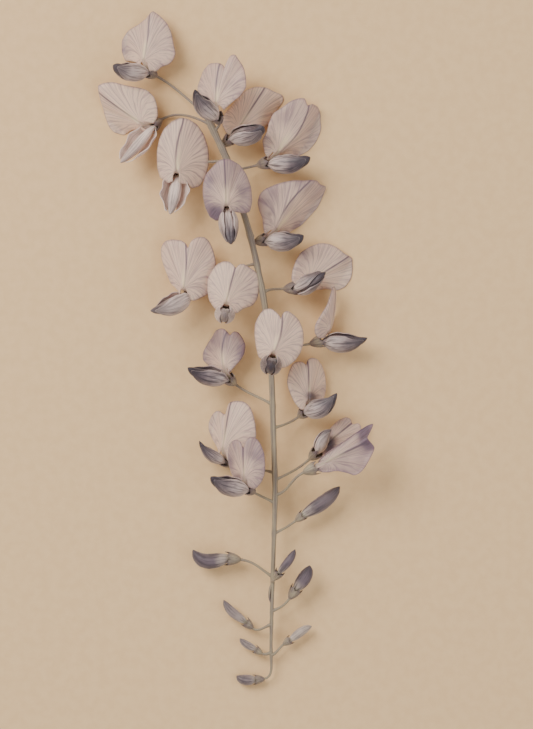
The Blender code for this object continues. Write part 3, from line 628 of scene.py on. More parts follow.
# %% Outlines of the banners
OUTLINES = {
    # pairs of an angle from the middle line in degrees and a reach in percent of the half size
    "01": (-115, 15, -97, 23, -81, 33, -78, 90, -71, 112, -64, 121, -52, 106, -32, 85, -6, 82, 8,
        96, 25, 95, 40, 100, 54, 103, 64, 103, 72, 107, 77, 97, 82, 81, 87, 58, 103, 41, 121, 22),
    "02": (-122, 16, -104, 26, -88, 36, -73, 50, -73, 103, -68, 126, -63, 123, -46, 99, -22, 89,
        -1, 96, 10, 106, 22, 105, 35, 105, 48, 101, 62, 108, 69, 111, 76, 100, 84, 77, 98, 50, 116,
        26),
    "03": (-113, 19, -95, 34, -79, 49, -70, 99, -64, 113, -56, 109, -48, 109, -33, 100, -7, 84, 7,
        81, 13, 74, 14, 93, 18, 105, 26, 112, 37, 111, 48, 115, 56, 117, 64, 114, 69, 90, 75, 56,
        94, 28),
    "04": (-140, 15, -122, 23, -106, 33, -88, 60, -76, 79, -63, 78, -51, 84, -40, 89, -22, 88, 3,
        90, 24, 102, 41, 130, 48, 139, 52, 128, 57, 119, 64, 120, 66, 91, 74, 52, 90, 36, 108, 20),
    "05": (-123, 15, -105, 24, -89, 35, -77, 56, -64, 63, -59, 77, -52, 91, -40, 91, -31, 99, -21,
        103, -11, 104, -1, 94, 5, 102, 23, 112, 41, 126, 55, 142, 62, 140, 67, 127, 71, 97, 77, 49,
        93, 34, 111, 19),
    "06": (-140, 15, -125, 22, -120, 32, -92, 62, -77, 80, -62, 98, -51, 107, -40, 110, -23, 108,
        -5, 109, 11, 109, 29, 113, 46, 119, 60, 125, 70, 125, 79, 114, 90, 94, 103, 64, 107, 38,
        123, 27, 140, 15),
    "07": (-150, 24, -122, 49, -99, 71, -82, 88, -70, 101, -60, 108, -48, 108, -29, 101, -13, 104,
        3, 106, 18, 106, 37, 111, 53, 118, 67, 122, 78, 117, 89, 102, 96, 72, 100, 48, 107, 30,
        122, 16),
    "08": (-125, 15, -110, 21, -95, 30, -79, 52, -76, 77, -73, 100, -69, 116, -65, 119, -58, 112,
        -49, 105, -37, 101, -23, 97, -13, 100, -1, 103, 12, 104, 24, 116, 34, 116, 41, 115, 48,
        114, 54, 105, 62, 94, 67, 67, 83, 47, 101, 25),
    "09": (-111, 15, -93, 23, -77, 33, -71, 61, -64, 78, -59, 100, -55, 121, -50, 133, -41, 128,
        -27, 112, -6, 98, 5, 92, 11, 83, 15, 100, 24, 113, 35, 126, 43, 130, 52, 130, 61, 130, 69,
        118, 78, 102, 87, 82, 98, 55, 114, 38, 132, 21),
    "10": (-129, 18, -111, 33, -95, 47, -79, 73, -67, 93, -57, 108, -46, 108, -36, 107, -23, 103,
        -7, 97, 4, 90, 11, 85, 15, 98, 25, 107, 38, 115, 49, 130, 58, 137, 65, 135, 72, 126, 78,
        106, 84, 70, 100, 49, 118, 27),
    "11": (-139, 15, -121, 27, -105, 39, -87, 63, -77, 88, -71, 108, -64, 116, -56, 117, -44, 107,
        -30, 97, -11, 90, 8, 99, 30, 107, 47, 122, 56, 127, 60, 115, 60, 78, 70, 49, 96, 37, 112,
        26, 130, 15),
    "12": (-130, 16, -112, 34, -98, 60, -86, 86, -78, 99, -70, 94, -60, 81, -48, 76, -36, 78, -26,
        85, -17, 94, -8, 100, 0, 98, 8, 100, 17, 95, 26, 88, 36, 84, 48, 84, 60, 90, 70, 100, 78,
        100, 86, 86, 98, 60, 112, 34, 130, 16),
    "13": (-140, 15, -125, 24, -117, 35, -95, 58, -77, 78, -66, 100, -58, 116, -48, 118, -39, 116,
        -25, 105, -13, 92, -1, 83, 3, 77, 4, 92, 13, 100, 28, 104, 44, 114, 57, 123, 67, 124, 76,
        112, 86, 91, 105, 61, 121, 43, 139, 23),
    "14": (-128, 16, -110, 29, -94, 42, -75, 81, -70, 123, -64, 127, -53, 109, -36, 96, -24, 98,
        -6, 93, 11, 90, 22, 85, 26, 81, 31, 96, 40, 105, 50, 106, 59, 105, 66, 88, 72, 65, 84, 35,
        100, 24, 118, 15),
    "15": (-139, 15, -121, 27, -105, 38, -84, 59, -73, 81, -66, 99, -61, 106, -52, 107, -40, 103,
        -26, 93, -14, 82, -12, 76, -4, 88, 13, 94, 33, 106, 49, 120, 58, 122, 67, 120, 74, 109, 82,
        82, 101, 34, 117, 24, 135, 15),
    "16": (-115, 15, -95, 22, -77, 35, -70, 87, -67, 126, -64, 138, -58, 132, -50, 118, -39, 97,
        -23, 74, -18, 85, -9, 91, 10, 97, 27, 108, 40, 118, 50, 123, 60, 129, 68, 131, 74, 115, 84,
        77, 98, 50, 116, 26),
    "17": (-126, 21, -108, 38, -92, 54, -77, 87, -68, 109, -61, 122, -55, 124, -46, 117, -33, 103,
        -15, 86, -5, 67, 4, 86, 15, 96, 28, 101, 42, 105, 55, 108, 66, 103, 76, 92, 87, 74, 103,
        53, 119, 37, 137, 20),
    "18": (-123, 27, -90, 26, -62, 49, -56, 71, -47, 86, -33, 89, -15, 82, 5, 73, 16, 90, 34, 102,
        50, 107, 62, 103, 73, 86, 92, 56, 108, 39, 126, 21),
    "19": (-122, 17, -104, 32, -88, 46, -70, 73, -67, 108, -67, 134, -64, 139, -58, 131, -49, 118,
        -38, 108, -23, 102, -10, 93, 10, 90, 27, 114, 36, 134, 40, 128, 42, 111, 45, 90, 52, 62,
        66, 42, 90, 25, 112, 15),
}
print("outlines:", len(OUTLINES), "with", sum(map(len, OUTLINES.values())) // 2, "points")

# %% [markdown]
# Each banner also has its own character. The crease can bow to one side, some blades carry a pleat
# or two that run out from the claw, and patches of painted shade, which darken folds, lobes and
# curled margins, and of painted light, which pale a blade, are given by their place on the table.
# They are few, so they are plain lists, and petals without an entry have none.

# %% Creases, pleats and patches of painted shade and light
BOWS = {
    # how far the crease bows to the right half-way, and how far it sweeps to the right at its end
    "01": (0.8, 0.4), "03": (-0.6, 0.0), "05": (2.4, 0.0), "06": (-1.2, 0.0), "08": (-2.8, -2.6),
    "09": (1.0, 0.5), "10": (0.0, 1.6), "13": (1.4, 0.0), "14": (-1.2, 4.2), "15": (0.0, -1.0),
    "17": (0.0, -0.8),
}
PLEATS = {
    # angle in degrees, how deep in millimetres, how wide in degrees
    "01": ((-58, -0.7, 12),), "02": ((-34, 0.9, 10),), "03": ((42, 1.1, 8), (-40, -0.5, 12)),
    "05": ((46, 0.8, 8), (-44, 0.4, 10)), "06": ((-52, -0.6, 10),),
    "07": ((40, 0.7, 9), (-48, 0.6, 10)), "08": ((34, 0.8, 9), (-52, 0.9, 9)),
    "09": ((-38, -0.6, 9), (50, 0.6, 8)), "11": ((24, 1.0, 9),), "13": ((40, 0.6, 10),),
    "15": ((-40, 0.5, 9), (44, 0.6, 9)), "16": ((-20, 1.3, 9), (34, -0.5, 12)),
    "17": ((34, 0.7, 9), (-30, 0.5, 9)), "18": ((-14, 0.9, 10), (34, -0.8, 10)),
    "19": ((36, -1.2, 9), (8, 1.2, 9), (-30, -0.8, 10), (-52, 0.7, 8)),
}
LIGHT_AND_SHADE_PATCHES = {
    # x and y in millimetres, size, and depth: above zero painted shade, below zero painted light
    "01": ((-44.1, 118.8, 3.0, 0.35), (-35.9, 116.4, 1.6, 0.3), (-31.9, 119.2, 2.6, 0.3)),
    "03": ((-1.2, 102.2, 3.0, 0.35), (-11.0, 97.5, 3.0, 0.2)),
    "05": ((19.7, 90.4, 4.0, 0.3), (18.9, 82.5, 4.0, -0.3)),
    "07": ((-7.9, 53.0, 3.2, 0.95), (-9.9, 65.2, 2.4, 0.35), (1.2, 61.3, 3.0, 0.3),
           (-2.8, 59.7, 3.0, -0.7)),
    "08": ((11.8, 58.1, 4.5, 0.25), (13.4, 52.6, 1.5, 0.5), (23.6, 48.7, 3.0, 0.45),
           (25.2, 64.4, 2.5, 0.3), (25.2, 57.3, 3.5, -0.4), (18.5, 49.5, 3.0, -0.4)),
    "09": ((-26.8, 27.4, 2.0, 0.2), (-22.0, 28.2, 2.0, 0.2)),
    "10": ((4.7, 22.7, 4.0, 0.2),),
    "11": ((27.2, 35.3, 3.5, 0.25), (41.0, 27.4, 6.0, -0.3)),
    "13": ((15.8, 6.9, 3.0, 0.2),),
    "14": ((-8.7, 1.0, 5.0, 0.2), (1.6, -1.8, 4.0, 0.3), (-4.7, -5.7, 3.2, -0.6)),
    "15": ((28.4, -18.6, 2.2, 0.95), (30.6, -19.6, 2.4, 0.95)),
    "17": ((-2.8, -45.1, 3.0, 0.3), (6.3, -42.4, 4.0, 0.3), (1.2, -50.6, 1.4, 0.6),
           (3.9, -46.7, 3.0, -0.5)),
    "18": ((37.4, -36.8, 3.6, 0.9), (36.6, -40.0, 3.0, 0.7), (42.9, -29.0, 3.0, 0.3)),
    "19": ((51.2, -31.7, 3.0, 0.7), (50.4, -34.9, 2.4, 0.6), (52.0, -37.6, 2.6, 0.6),
           (41.4, -45.1, 5.0, 0.2)),
}
print("pleats on", len(PLEATS), "banners, patches on", len(LIGHT_AND_SHADE_PATCHES))

# %% Outline, axes and table of a banner
OUTLINE_STEPS, OUTLINE_SOFTNESS = 600, 0.55
BANNER_COLS = 73
TABLE_BEND = 0.3  # how softly thin parts bend where they meet the table


def soften(values, width):
    """A row of values, each mixed with its neighbours."""
    reach = int(3 * width)
    kernel = np.exp(-0.5 * (np.arange(-reach, reach + 1) / width) ** 2)
    padded = np.pad(values, reach, mode="reflect", reflect_type="odd")
    return np.convolve(padded, kernel / kernel.sum(), "valid")


def rest_on_table(points, level):
    """Thin parts that would sink below this level bend and lie on it."""
    points = points.copy()
    z = points[..., 2] - level
    points[..., 2] = level + (z + np.sqrt(z * z + TABLE_BEND ** 2)) / 2
    return points


def petal_outline(number, length, width):
    """Angles and reaches of a banner's margin at even steps along it."""
    turn, reach = np.array(OUTLINES[number], float).reshape(-1, 2).T
    turn, reach = np.radians(turn), reach / 100
    margin = np.array([reach * np.sin(turn) * width / 2, reach * np.cos(turn) * length])
    run = np.concatenate([[0], np.cumsum(np.hypot(*np.diff(margin)))])
    fine = np.linspace(0, run[-1], OUTLINE_STEPS)
    softness = OUTLINE_SOFTNESS * (OUTLINE_STEPS / run[-1])
    x, y = [soften(np.interp(fine, run, line), softness) for line in margin]
    picked = np.linspace(0, OUTLINE_STEPS - 1, BANNER_COLS)
    x, y = [np.interp(picked, np.arange(OUTLINE_STEPS), line) for line in (x, y)]
    x, y = x / (width / 2), y / length
    return np.degrees(np.arctan2(x, y)), np.hypot(x, y)


def bloom_axes(bloom):
    """Arrows of a bloom: calyx axis, keel heading, banner's length, width and face."""
    _, _, _, cup, keel, banner, _ = bloom
    cup, keel, length = heading(*cup), heading(*keel[:2]), heading(*banner[:2])
    upward = square_to(UP, length)
    sideways = np.cross(length, upward)
    if sideways @ keel < 0:
        sideways = -sideways
    turn = math.radians(banner[2])
    face = upward * math.cos(turn) + sideways * math.sin(turn)
    return cup, keel, length, np.cross(length, face), face


turns, edge = petal_outline("01", 20, 20)
print("banner 01 opens from", turns[0].round(), "to", turns[-1].round(), "degrees off its crease")

# %% [markdown]
# The blade is a grid of rows, each a share of the way out to the margin. First every point gets
# its place on a flat petal, then its depth behind it, which is the sum of the fold, the ruffle,
# the pleats, the calluses and the crease.

# %% Banner blade
BLADE_INNER, BLADE_OPEN, LOBE_DROP, FOLD_SOFTNESS = 0.13, 0.62, 0.17, 0.7
WAVES, RUFFLE = (3, 5, 8, 13), 0.36  # how often the margin waves, and how high
RIM_START, RIM_WIDE, RIM_CURL = 0.84, 0.16, 0.5
CALLUS_SIDE, CALLUS_UP, CALLUS_HIGH = (0.75, 0.45), (2.4, 1.3), 0.35  # (place, size) twice
CREASE_DEEP, CREASE_WIDE = 0.15, 0.35


def blade_places(number, bloom, turns, edge, share):
    """Distances to the right of the middle, ahead along it, and off the crease."""
    _, _, _, length, width, _, _ = bloom[5]
    bow, sweep = BOWS.get(number, (0.0, 0.0))
    angle = np.radians(turns)[None] * (BLADE_OPEN + (1 - BLADE_OPEN) * np.sqrt(share))
    reach = BLADE_INNER + (edge[None] - BLADE_INNER) * share
    x = reach * np.sin(angle) * width / 2
    y = reach * np.cos(angle) * length
    y = y - LOBE_DROP * (2 * x / width) ** 2 * (length - y)
    run = np.clip(y / length, 0, 1)
    return x, y, x - bow * np.sin(np.pi * run) - sweep * run ** 1.5


def blade_depth(number, bloom, turns, share, x, y, off):
    """How far each point of the blade lies behind the flat petal."""
    _, _, _, length, _, fold, arch = bloom[5]
    ruffle = bloom[6][2]
    rng = np.random.default_rng(100 + int(number))
    waves = sum(
        rng.uniform(0.5, 1.0) / k * np.sin(np.radians(turns) * k + rng.uniform(0, 6.28)) * 3
        for k in WAVES)
    back = math.tan(math.radians(fold)) * (np.hypot(off, FOLD_SOFTNESS) - FOLD_SOFTNESS)
    back = back + arch * y * np.abs(y) / length
    back = back + ruffle * RUFFLE * waves[None] * share ** 2.5
    back = back + RIM_CURL * np.clip((share - RIM_START) / RIM_WIDE, 0, 1) ** 2
    for at, deep, wide in PLEATS.get(number, ()):
        back = back + deep * np.exp(-((turns[None] - at) / wide) ** 2) * share ** 1.3
    (side, wide), (up, tall) = CALLUS_SIDE, CALLUS_UP
    callus = np.exp(-((np.abs(x) - side) / wide) ** 2 - ((y - up) / tall) ** 2)
    crease = CREASE_DEEP * np.exp(-(off / CREASE_WIDE) ** 2) * (1 - 0.6 * share)
    return back - CALLUS_HIGH * callus + crease


print("the ruffle is a sum of", len(WAVES), "waves")

# %% [markdown]
# The claw is a short strap of rows from the floor of the calyx to the first row of the blade, and
# it blends into that row. Together they are one grid, which becomes the petal's shell.

# %% Banner claw and whole banner
CUP_DEPTH = 1.3  # from the mouth of a calyx down to where the claw is rooted
CLAW_RISE, CLAW_REACH, CLAW_WIDTH, CLAW_HOLLOW, BLADE_LIFT = 0.95, 3.8, 2.1, 0.25, 1.0
CLAW_ROWS, BLADE_ROWS = 9, 30
THICK_AT, THICK = (-0.3, 0.0, 0.3, 0.95, 1.0), (0.55, 0.5, 0.36, 0.2, 0.12)
RAY_TURN = 98.0  # degrees off the crease where the mark "ray" is one


def claw_grid(mouth, cup, rise, width_axis, base, centre):
    """Rows from the calyx to the blade's first row, whose middle point has this number."""
    start = mouth + rise * CLAW_RISE - cup * CUP_DEPTH
    bend = start + cup * (CLAW_REACH + CUP_DEPTH) * 0.9
    foot = square_to(width_axis, cup)
    even = np.linspace(-1, 1, BANNER_COLS)
    shares = np.linspace(0, 1, CLAW_ROWS + 1)[:-1]
    rows = []
    for share, middle in zip(shares, bezier((start, bend, base[centre]), shares)):
        across = unit(foot * (1 - share) + width_axis * share) * CLAW_WIDTH / 2
        strap = middle + across * even[:, None] * (0.8 + 0.2 * share)
        strap = strap + rise * (CLAW_HOLLOW * even ** 2)[:, None] * (1 - share)
        weight = np.clip((share - 0.55) / 0.45, 0, 1) ** 2
        rows.append(strap * (1 - weight) + (base + (middle - base[centre])) * weight)
    return np.array(rows)


def tone_with_light_and_shade(number, tone, grid):
    """The tone of every point, deeper in the banner's patches of painted shade and paler in its
    patches of painted light.
    """
    deep = np.full(grid.shape[:2], tone)
    for x, y, wide, depth in LIGHT_AND_SHADE_PATCHES.get(number, ()):
        away = (grid[..., 0] - x - SHIFT[0]) ** 2 + (grid[..., 1] - y - SHIFT[1]) ** 2
        deep += depth * np.exp(-away / wide ** 2)
    return deep


def banner_piece(number, bloom):
    """The shell of one banner, with its marks."""
    cup, _, length_axis, width_axis, face = bloom_axes(bloom)
    rise = square_to(length_axis, cup)
    mouth = placed(bloom[0])
    origin = mouth + rise * (CLAW_RISE + BLADE_LIFT) + cup * CLAW_REACH
    turns, edge = petal_outline(number, *bloom[5][3:5])
    shares = np.linspace(0, 1, BLADE_ROWS) ** 0.85
    x, y, off = blade_places(number, bloom, turns, edge, shares[:, None])
    back = blade_depth(number, bloom, turns, shares[:, None], x, y, off)
    across, ahead = width_axis * x[..., None], length_axis * y[..., None]
    blade = origin + across + ahead - face * back[..., None]
    claw = claw_grid(mouth, cup, rise, width_axis, blade[0], int(np.argmin(np.abs(turns))))
    grid = rest_on_table(np.vstack([claw, blade]), 0.12)
    reach = np.concatenate([np.linspace(-0.3, 0, CLAW_ROWS + 1)[:-1], shares])[:, None]
    crease = np.vstack([np.tile(np.linspace(-1, 1, BANNER_COLS), (CLAW_ROWS, 1)), off])
    # the tone also carries the painted shade and painted light of the patches
    tone = tone_with_light_and_shade(number, bloom[6][0], grid)
    marks = marks_on(grid, ray=turns / RAY_TURN, reach=reach, tone=tone, crease=crease,
                     seed=int(number) * 7.3)
    return shell(grid, np.interp(reach, THICK_AT, THICK), marks)


print("each banner is a grid of", CLAW_ROWS + BLADE_ROWS, "by", BANNER_COLS, "points")

# %% Make the banners
make_pieces(BLOOMS, banner_piece, banner_petal, "banner_petal", "banner")

# %% [markdown]
# ## Wings and keel
# Under the banner lie two wings, and between them the keel, a folded beak that holds the stamens.
# All three follow one curve from the calyx to the tip. The keel is a closed tube with a groove
# along its top. Each wing is a thin shell on the keel's side, narrow at its claw, broad in the
# middle and rounded at the end, and its open edges leave the slit that shows from above.

# %% Wing and keel shape
BOAT = np.array([
    # share of the way to the tip, width, height
    (0, 0.24, 0.22), (0.06, 0.34, 0.32), (0.14, 0.52, 0.50), (0.26, 0.84, 0.82), (0.45, 1.0, 1.0),
    (0.66, 0.98, 0.98), (0.84, 0.72, 0.80), (0.95, 0.40, 0.50), (1.0, 0.0, 0.0),
])
BOAT_DROP, BOAT_LEAD, BOAT_BELLY, BOAT_BEAK = 0.75, 4.2, (0.55, 2.6), 0.6
BEAKS = {
    # how pointed, how far the tip turns up in millimetres, how far the wings spread, how much they
    # lean to show their opening from above
    "01": (0.0, 0.1, 0.0, 0.2), "02": (0.3, 0.0, 1.0, 2.0), "03": (0.8, 0.5, 0.1, 0.9),
    "04": (0.4, 1.6, 0.0, 1.8), "05": (0.2, 0.9, 0.0, 0.4), "06": (0.4, 0.0, 0.9, 0.5),
    "07": (0.4, 0.0, 0.1, 0.3), "08": (0.2, 0.8, 0.0, 0.5), "09": (0.9, -0.4, 0.3, 0.2),
    "10": (0.2, 0.0, 0.0, 0.0), "11": (0.5, 0.6, 0.2, 0.7), "12": (1.0, 1.6, 0.0, 0.6),
    "13": (0.1, 0.0, 0.0, 0.0), "14": (0.6, 0.5, 0.3, 0.5), "15": (0.9, 2.4, 0.0, 0.1),
    "16": (0.9, 0.8, 0.0, 0.2), "17": (0.4, 0.6, 0.1, 0.3), "18": (0.5, 0.0, 0.0, 0.3),
    "19": (0.5, 0.0, 0.0, 0.0),
}
POINTED = ((0.0, 1.0), (0.5, 1.0), (0.66, 0.93), (0.84, 0.70), (0.95, 0.55), (1.0, 0.5))


def boat_line(number, bloom):
    """The curve that a keel and its wings follow, and its upward arrow."""
    cup, keel, length_axis, _, _ = bloom_axes(bloom)
    reach = bloom[4][2]
    _, turned_up, _, lean = BEAKS[number]
    up = square_to(square_to(length_axis, keel) + UP * lean, keel)
    mouth = placed(bloom[0])
    start = mouth - square_to(length_axis, cup) * BOAT_DROP + cup * 0.15
    belly = mouth + keel * reach * BOAT_BELLY[0] - up * BOAT_BELLY[1]
    tip = mouth + keel * reach + up * (BOAT_BEAK + turned_up)
    return (start, start + cup * BOAT_LEAD, belly, tip), up


def half_sizes(number, bloom, shares):
    """Half the width and half the height of a boat at these shares of its curve."""
    _, _, _, height, width = bloom[4]
    slim = 1 + (smooth_table(POINTED, shares, 0.03) - 1) * BEAKS[number][0]
    return [(smooth_table(BOAT[:, [0, k]], shares, 0.025) * slim)[:, None] * size / 2
            for k, size in ((1, width), (2, height))]


def oval_rows(spine, up, shares, angles, wide, high):
    """Points at angles round a curve; wide and high are rows of half sizes, or whole grids."""
    before, after = np.maximum(shares - 0.02, 0), np.minimum(shares + 0.02, 1)
    ahead = unit(bezier(spine, after) - bezier(spine, before))
    rise = square_to(np.broadcast_to(up, ahead.shape), ahead)[:, None]
    across = np.cross(ahead, rise[:, 0])[:, None]
    x = wide * np.cos(angles)
    y = high * np.sin(angles)
    return bezier(spine, shares)[:, None] + across * x[..., None] + rise * y[..., None]


width = 2 * half_sizes("01", BLOOMS["01"], np.array([0.45]))[0].item()
print("boat 01 is", round(width, 1), "mm wide")

# %% [markdown]
# The wings are opened by two numbers of each bloom: how far they spread and how much they lean.
# Each wing also opens and ripples by a small random amount, drawn from a seed that is the
# bloom's own, so every run gives the same petals.

# %% Keel, wing and whole boat
KEEL_RINGS, KEEL_SIDES, WING_ROWS, WING_COLS = 30, 28, 27, 17
KEEL_SLIM_AT, KEEL_SLIM = (0, 0.2, 0.5, 0.85, 0.97), (0.9, 0.72, 0.80, 0.86, 1.0)
GROOVE, RIDGE = (0.22, 16), (0.06, 18)  # share of the size, and degrees
WING_TOP, WING_LOW, WING_THICK, WING_RIPPLE = 66, -80, 0.26, 0.13
WING_START, WING_LONG = 0.02, 0.92  # shares of the boat's curve


def keel_part(number, bloom):
    """The keel: a closed tube with a groove along its top and a low ridge below."""
    spine, up = boat_line(number, bloom)
    spread = BEAKS[number][2]
    shares = np.concatenate([[0.0], np.linspace(0.04, 0.985, KEEL_RINGS)])
    angles = np.linspace(0, 2 * np.pi, KEEL_SIDES + 1)[:-1] + np.pi / 2
    wide, high = half_sizes(number, bloom, shares)
    off_top = degrees_off(np.degrees(angles), 90)
    groove = (1 - GROOVE[0] * np.exp(-(off_top / GROOVE[1]) ** 2)
              + RIDGE[0] * np.exp(-((off_top - 180) / RIDGE[1]) ** 2))
    slim = np.interp(shares, KEEL_SLIM_AT, KEEL_SLIM)[:, None] * (1 - 0.25 * spread)
    rings = oval_rows(spine, up, shares, angles[None], wide * groove * slim, high * groove * slim)
    rings = rest_on_table(rings, 0.1)
    marks = marks_on(rings, along=shares[:, None], around=off_top / 180, edge=0.0,
                     tone=bloom[6][1] + 0.25, seed=int(number) * 5.1)
    return closed_tube(rings, marks, spine[0] - heading(*bloom[3]) * 1.2, spine[-1])


def wing_part(number, bloom, side, rng):
    """One wing: a thin shell on the right (1) or the left (-1) side of the keel."""
    spine, up = boat_line(number, bloom)
    spread = BEAKS[number][2]
    shares = WING_START + WING_LONG * (1 - np.cos(np.linspace(0.0, np.pi, WING_ROWS))) / 2
    wide, high = half_sizes(number, bloom, shares)
    claw = np.clip((shares - WING_START) / 0.26, 0, 1)
    opened = (0.16 + 0.84 * claw ** 0.8) * np.sqrt(np.clip((0.945 - shares) / 0.30, 0.004, 1))
    top = np.radians((WING_TOP + rng.uniform(-6, 6)) * (1 - 0.75 * spread)) * opened
    low = np.radians(WING_LOW) * opened
    cut = np.linspace(0, 1, WING_COLS)[None]
    angle = low[:, None] + (top - low)[:, None] * cut
    angle = angle if side == 1 else np.pi - angle
    wave = WING_RIPPLE * np.sin(shares[:, None] * 19 + rng.uniform(0, 6.28)) * cut ** 3
    wave = wave * (1 + 3 * spread)
    flare = 1.0 + 0.05 * cut ** 4 + 0.03 * (1 - cut) ** 4
    flare = flare + 0.45 * spread * cut ** 2 * claw[:, None]
    grid = oval_rows(spine, up, shares, angle, wide * flare + wave, high * flare + wave)
    grid = rest_on_table(grid, 0.14)
    if side == 1:  # turned over, so that both wings face outward
        grid, cut = grid[:, ::-1], cut[:, ::-1]
    # edge marks the open edges and the end of a wing, where the material paints its highlight
    margin = np.maximum(np.abs(cut * 2 - 1), np.interp(shares, (0.8, 0.94), (0, 1))[:, None])
    marks = marks_on(grid, along=shares[:, None], around=(1 - cut) * 0.9 + 0.05, edge=margin,
                     tone=bloom[6][1], seed=int(number) * 5.1 + side * 1.7)
    return shell(grid, WING_THICK, marks)


def boat_piece(number, bloom):
    """One keel with its two wings."""
    rng = np.random.default_rng(300 + int(number))
    wings = [wing_part(number, bloom, side, rng) for side in (1, -1)]
    return join([keel_part(number, bloom), *wings])


print("a boat has", len(boat_piece("01", BLOOMS["01"])[0]), "points")

# %% Make the wings and keels
make_pieces(BLOOMS, boat_piece, boat_petal, "wings_and_keel", "keel")

# %% [markdown]
# ## Buds
# A bud is a whole flower folded shut. Its outside is the banner, wrapped round the rest, so one
# overlapping edge shows as a line from base to tip. The club is a closed tube along a bent curve
# whose rings have a step where the wrapped edge lies.

# %% Bud shape
BUD_THICK = (
    (0, 0.42), (0.14, 0.68), (0.34, 0.95), (0.55, 1.0), (0.76, 0.87), (0.92, 0.54), (1.0, 0.0))
BUD_DEPTH, BUD_LEAD, BUD_TAPER = 1.15, 0.3, 0.4
BUD_WRAP, BUD_FOLDS = 0.07, 0.05


def bud_piece(number, bud):
    """One closed bud."""
    mouth, _, _, cup, size, (turn, rise, length, thick, bend), tone = bud
    cup, along = heading(*cup), heading(turn, rise)
    side = np.cross(square_to(UP, along), along)
    start = placed(mouth) + cup * 0.1
    tip = placed(mouth) + cup * (0.35 - 0.2 * size) + along * length
    bent = tip - along * length * BUD_TAPER + side * bend * length
    spine = (start, start + cup * length * BUD_LEAD, bent, tip)
    shares = np.concatenate([[0.0], np.linspace(0.04, 0.985, 28)])
    angles = np.linspace(0, 2 * np.pi, 33)[:-1]
    half = smooth_table(BUD_THICK, shares, 0.03)[:, None] * thick / 2
    turned = (angles[None] - 0.8 - 1.1 * shares[:, None]) % (2 * np.pi)
    wrap = 1 + BUD_WRAP * (turned / (2 * np.pi)) * np.clip(shares[:, None] * 4, 0, 1)
    folds = 1 - BUD_FOLDS * np.cos(3 * angles[None] + 2 * shares[:, None] + int(number))
    wide = half * wrap * folds
    rings = oval_rows(spine, side, shares, angles[None], wide, wide * BUD_DEPTH)
    marks = marks_on(rings, along=shares[:, None], around=np.abs(angles / np.pi - 1), tone=tone,
                     seed=int(number) * 3.7)
    return closed_tube(rings, marks, start - cup * 1.0, tip)


# %% Make the buds
make_pieces(BUDS, bud_piece, bud_skin, "bud_skin", "bud")

# %% [markdown]
# ## Calyces
# Each flower sits in a small bell with five pointed teeth. The two upper teeth are short and the
# lowest one is the longest, as in the pea family. The bell is one closed tube of rings: up its
# outside, over the toothed rim, and down the inside to a floor where the petals are rooted.

# %% Calyx shape
TEETH = ((54, 1.3), (126, 1.3), (198, 2.1), (342, 2.1), (270, 3.2))  # degrees, height
TOOTH_HALF = 36  # degrees from the middle of a tooth to its foot
CALYX_SIDES = 60
BELL = ((-3.6, 1.22), (-2.9, 1.66), (-1.9, 2.12), (-0.9, 2.42), (0.0, 2.60))  # height, radius
BELL_FOOT, BELL_LONG = -4.25, 6.5  # where its mark "along" starts, and how far it runs


def calyx_piece(mouth, cup, towards, size, seed):
    """One bell with its teeth, the two short ones on the side towards the banner."""
    mouth, cup = placed(mouth), heading(*cup)
    up = square_to(towards, cup)
    angles = np.linspace(0, 2 * np.pi, CALYX_SIDES + 1)[:-1]
    degrees = np.degrees(angles)
    tooth = np.zeros(CALYX_SIDES)
    for at, tall in TEETH:
        near = np.clip(1 - degrees_off(degrees, at) / TOOTH_HALF, 0, 1)
        tooth = np.maximum(tooth, tall * near ** 1.35)
    ribs = 1 + 0.025 * np.cos(np.radians((degrees - TEETH[0][0]) * len(TEETH)))

    rows = [(BELL_FOOT, 0.55, 0), (-4.1, 0.85, 0)]
    rows += [(height, radius * ribs, 0) for height, radius in BELL]
    for share in (0.35, 0.7, 0.93, 1.0):  # up the outside of the teeth
        rows.append((0.1 + tooth * share, 2.66 + 0.10 * tooth * share, 0))
    for share in (1.0, 0.6):  # down their inside, which lies a little lower
        rows.append((0.1 + tooth * share, 2.42 + 0.10 * tooth * share, 0.04 + 0.05 * share))
    rows += [(-0.1, 2.34, 0), (-1.2, 2.15, 0), (-1.5, 1.5, 0)]
    height, radius, lower = [
        np.array([np.broadcast_to(row[k], CALYX_SIDES) for row in rows])[..., None]
        for k in range(3)]
    out = np.cos(angles)[:, None] * np.cross(cup, up) + np.sin(angles)[:, None] * up
    rings = mouth + (cup * (height - lower) + out * radius) * size
    marks = marks_on(rings, along=np.clip((height[..., 0] - BELL_FOOT) / BELL_LONG, 0, 1),
                     around=np.abs(degrees / 90 - 2), seed=seed)
    return closed_tube(rings, marks, mouth - cup * 4.3 * size, mouth - cup * 1.5 * size)


calyces = [calyx_piece(mouth, cup, heading(*banner[:2]), 1.0, int(number))
           for number, (mouth, _, _, cup, _, banner, _) in BLOOMS.items()]
calyces += [calyx_piece(mouth, cup, UP, size, 40 + int(number))
            for number, (mouth, _, _, cup, size, _, _) in BUDS.items()]
calyx_mesh = new_mesh("calyces", *join(calyces))
add_piece("calyces", calyx_mesh, calyx_skin, "stem")
print("calyces:", len(calyces), "in", len(calyx_mesh.polygons), "faces")

# %% [markdown]
# ## Rachis and stalks
# These are round stalks that follow paths, which is what Geometry Nodes does best: a ribbed ring
# is swept along each path, and the radius stored on the path makes it taper and swell. The tree
# is built once, with named inputs for its sides and ribs, and is used for the rachis and again
# for the thin stalks with other numbers. It stores how far along and round each point lies, so
# that the streaks of the material follow the stalk.

# %% Helpers for Geometry Nodes
GEOMETRY, MATERIAL = ("Geometry", None), ("Material", None)


def store(n, geometry, name, value):
    """Geometry that keeps a named number on its points."""
    inputs = {"Geometry": geometry, "Name": name, "Value": value}
    return n.add("GeometryNodeStoreNamedAttribute", inputs).outputs[0]


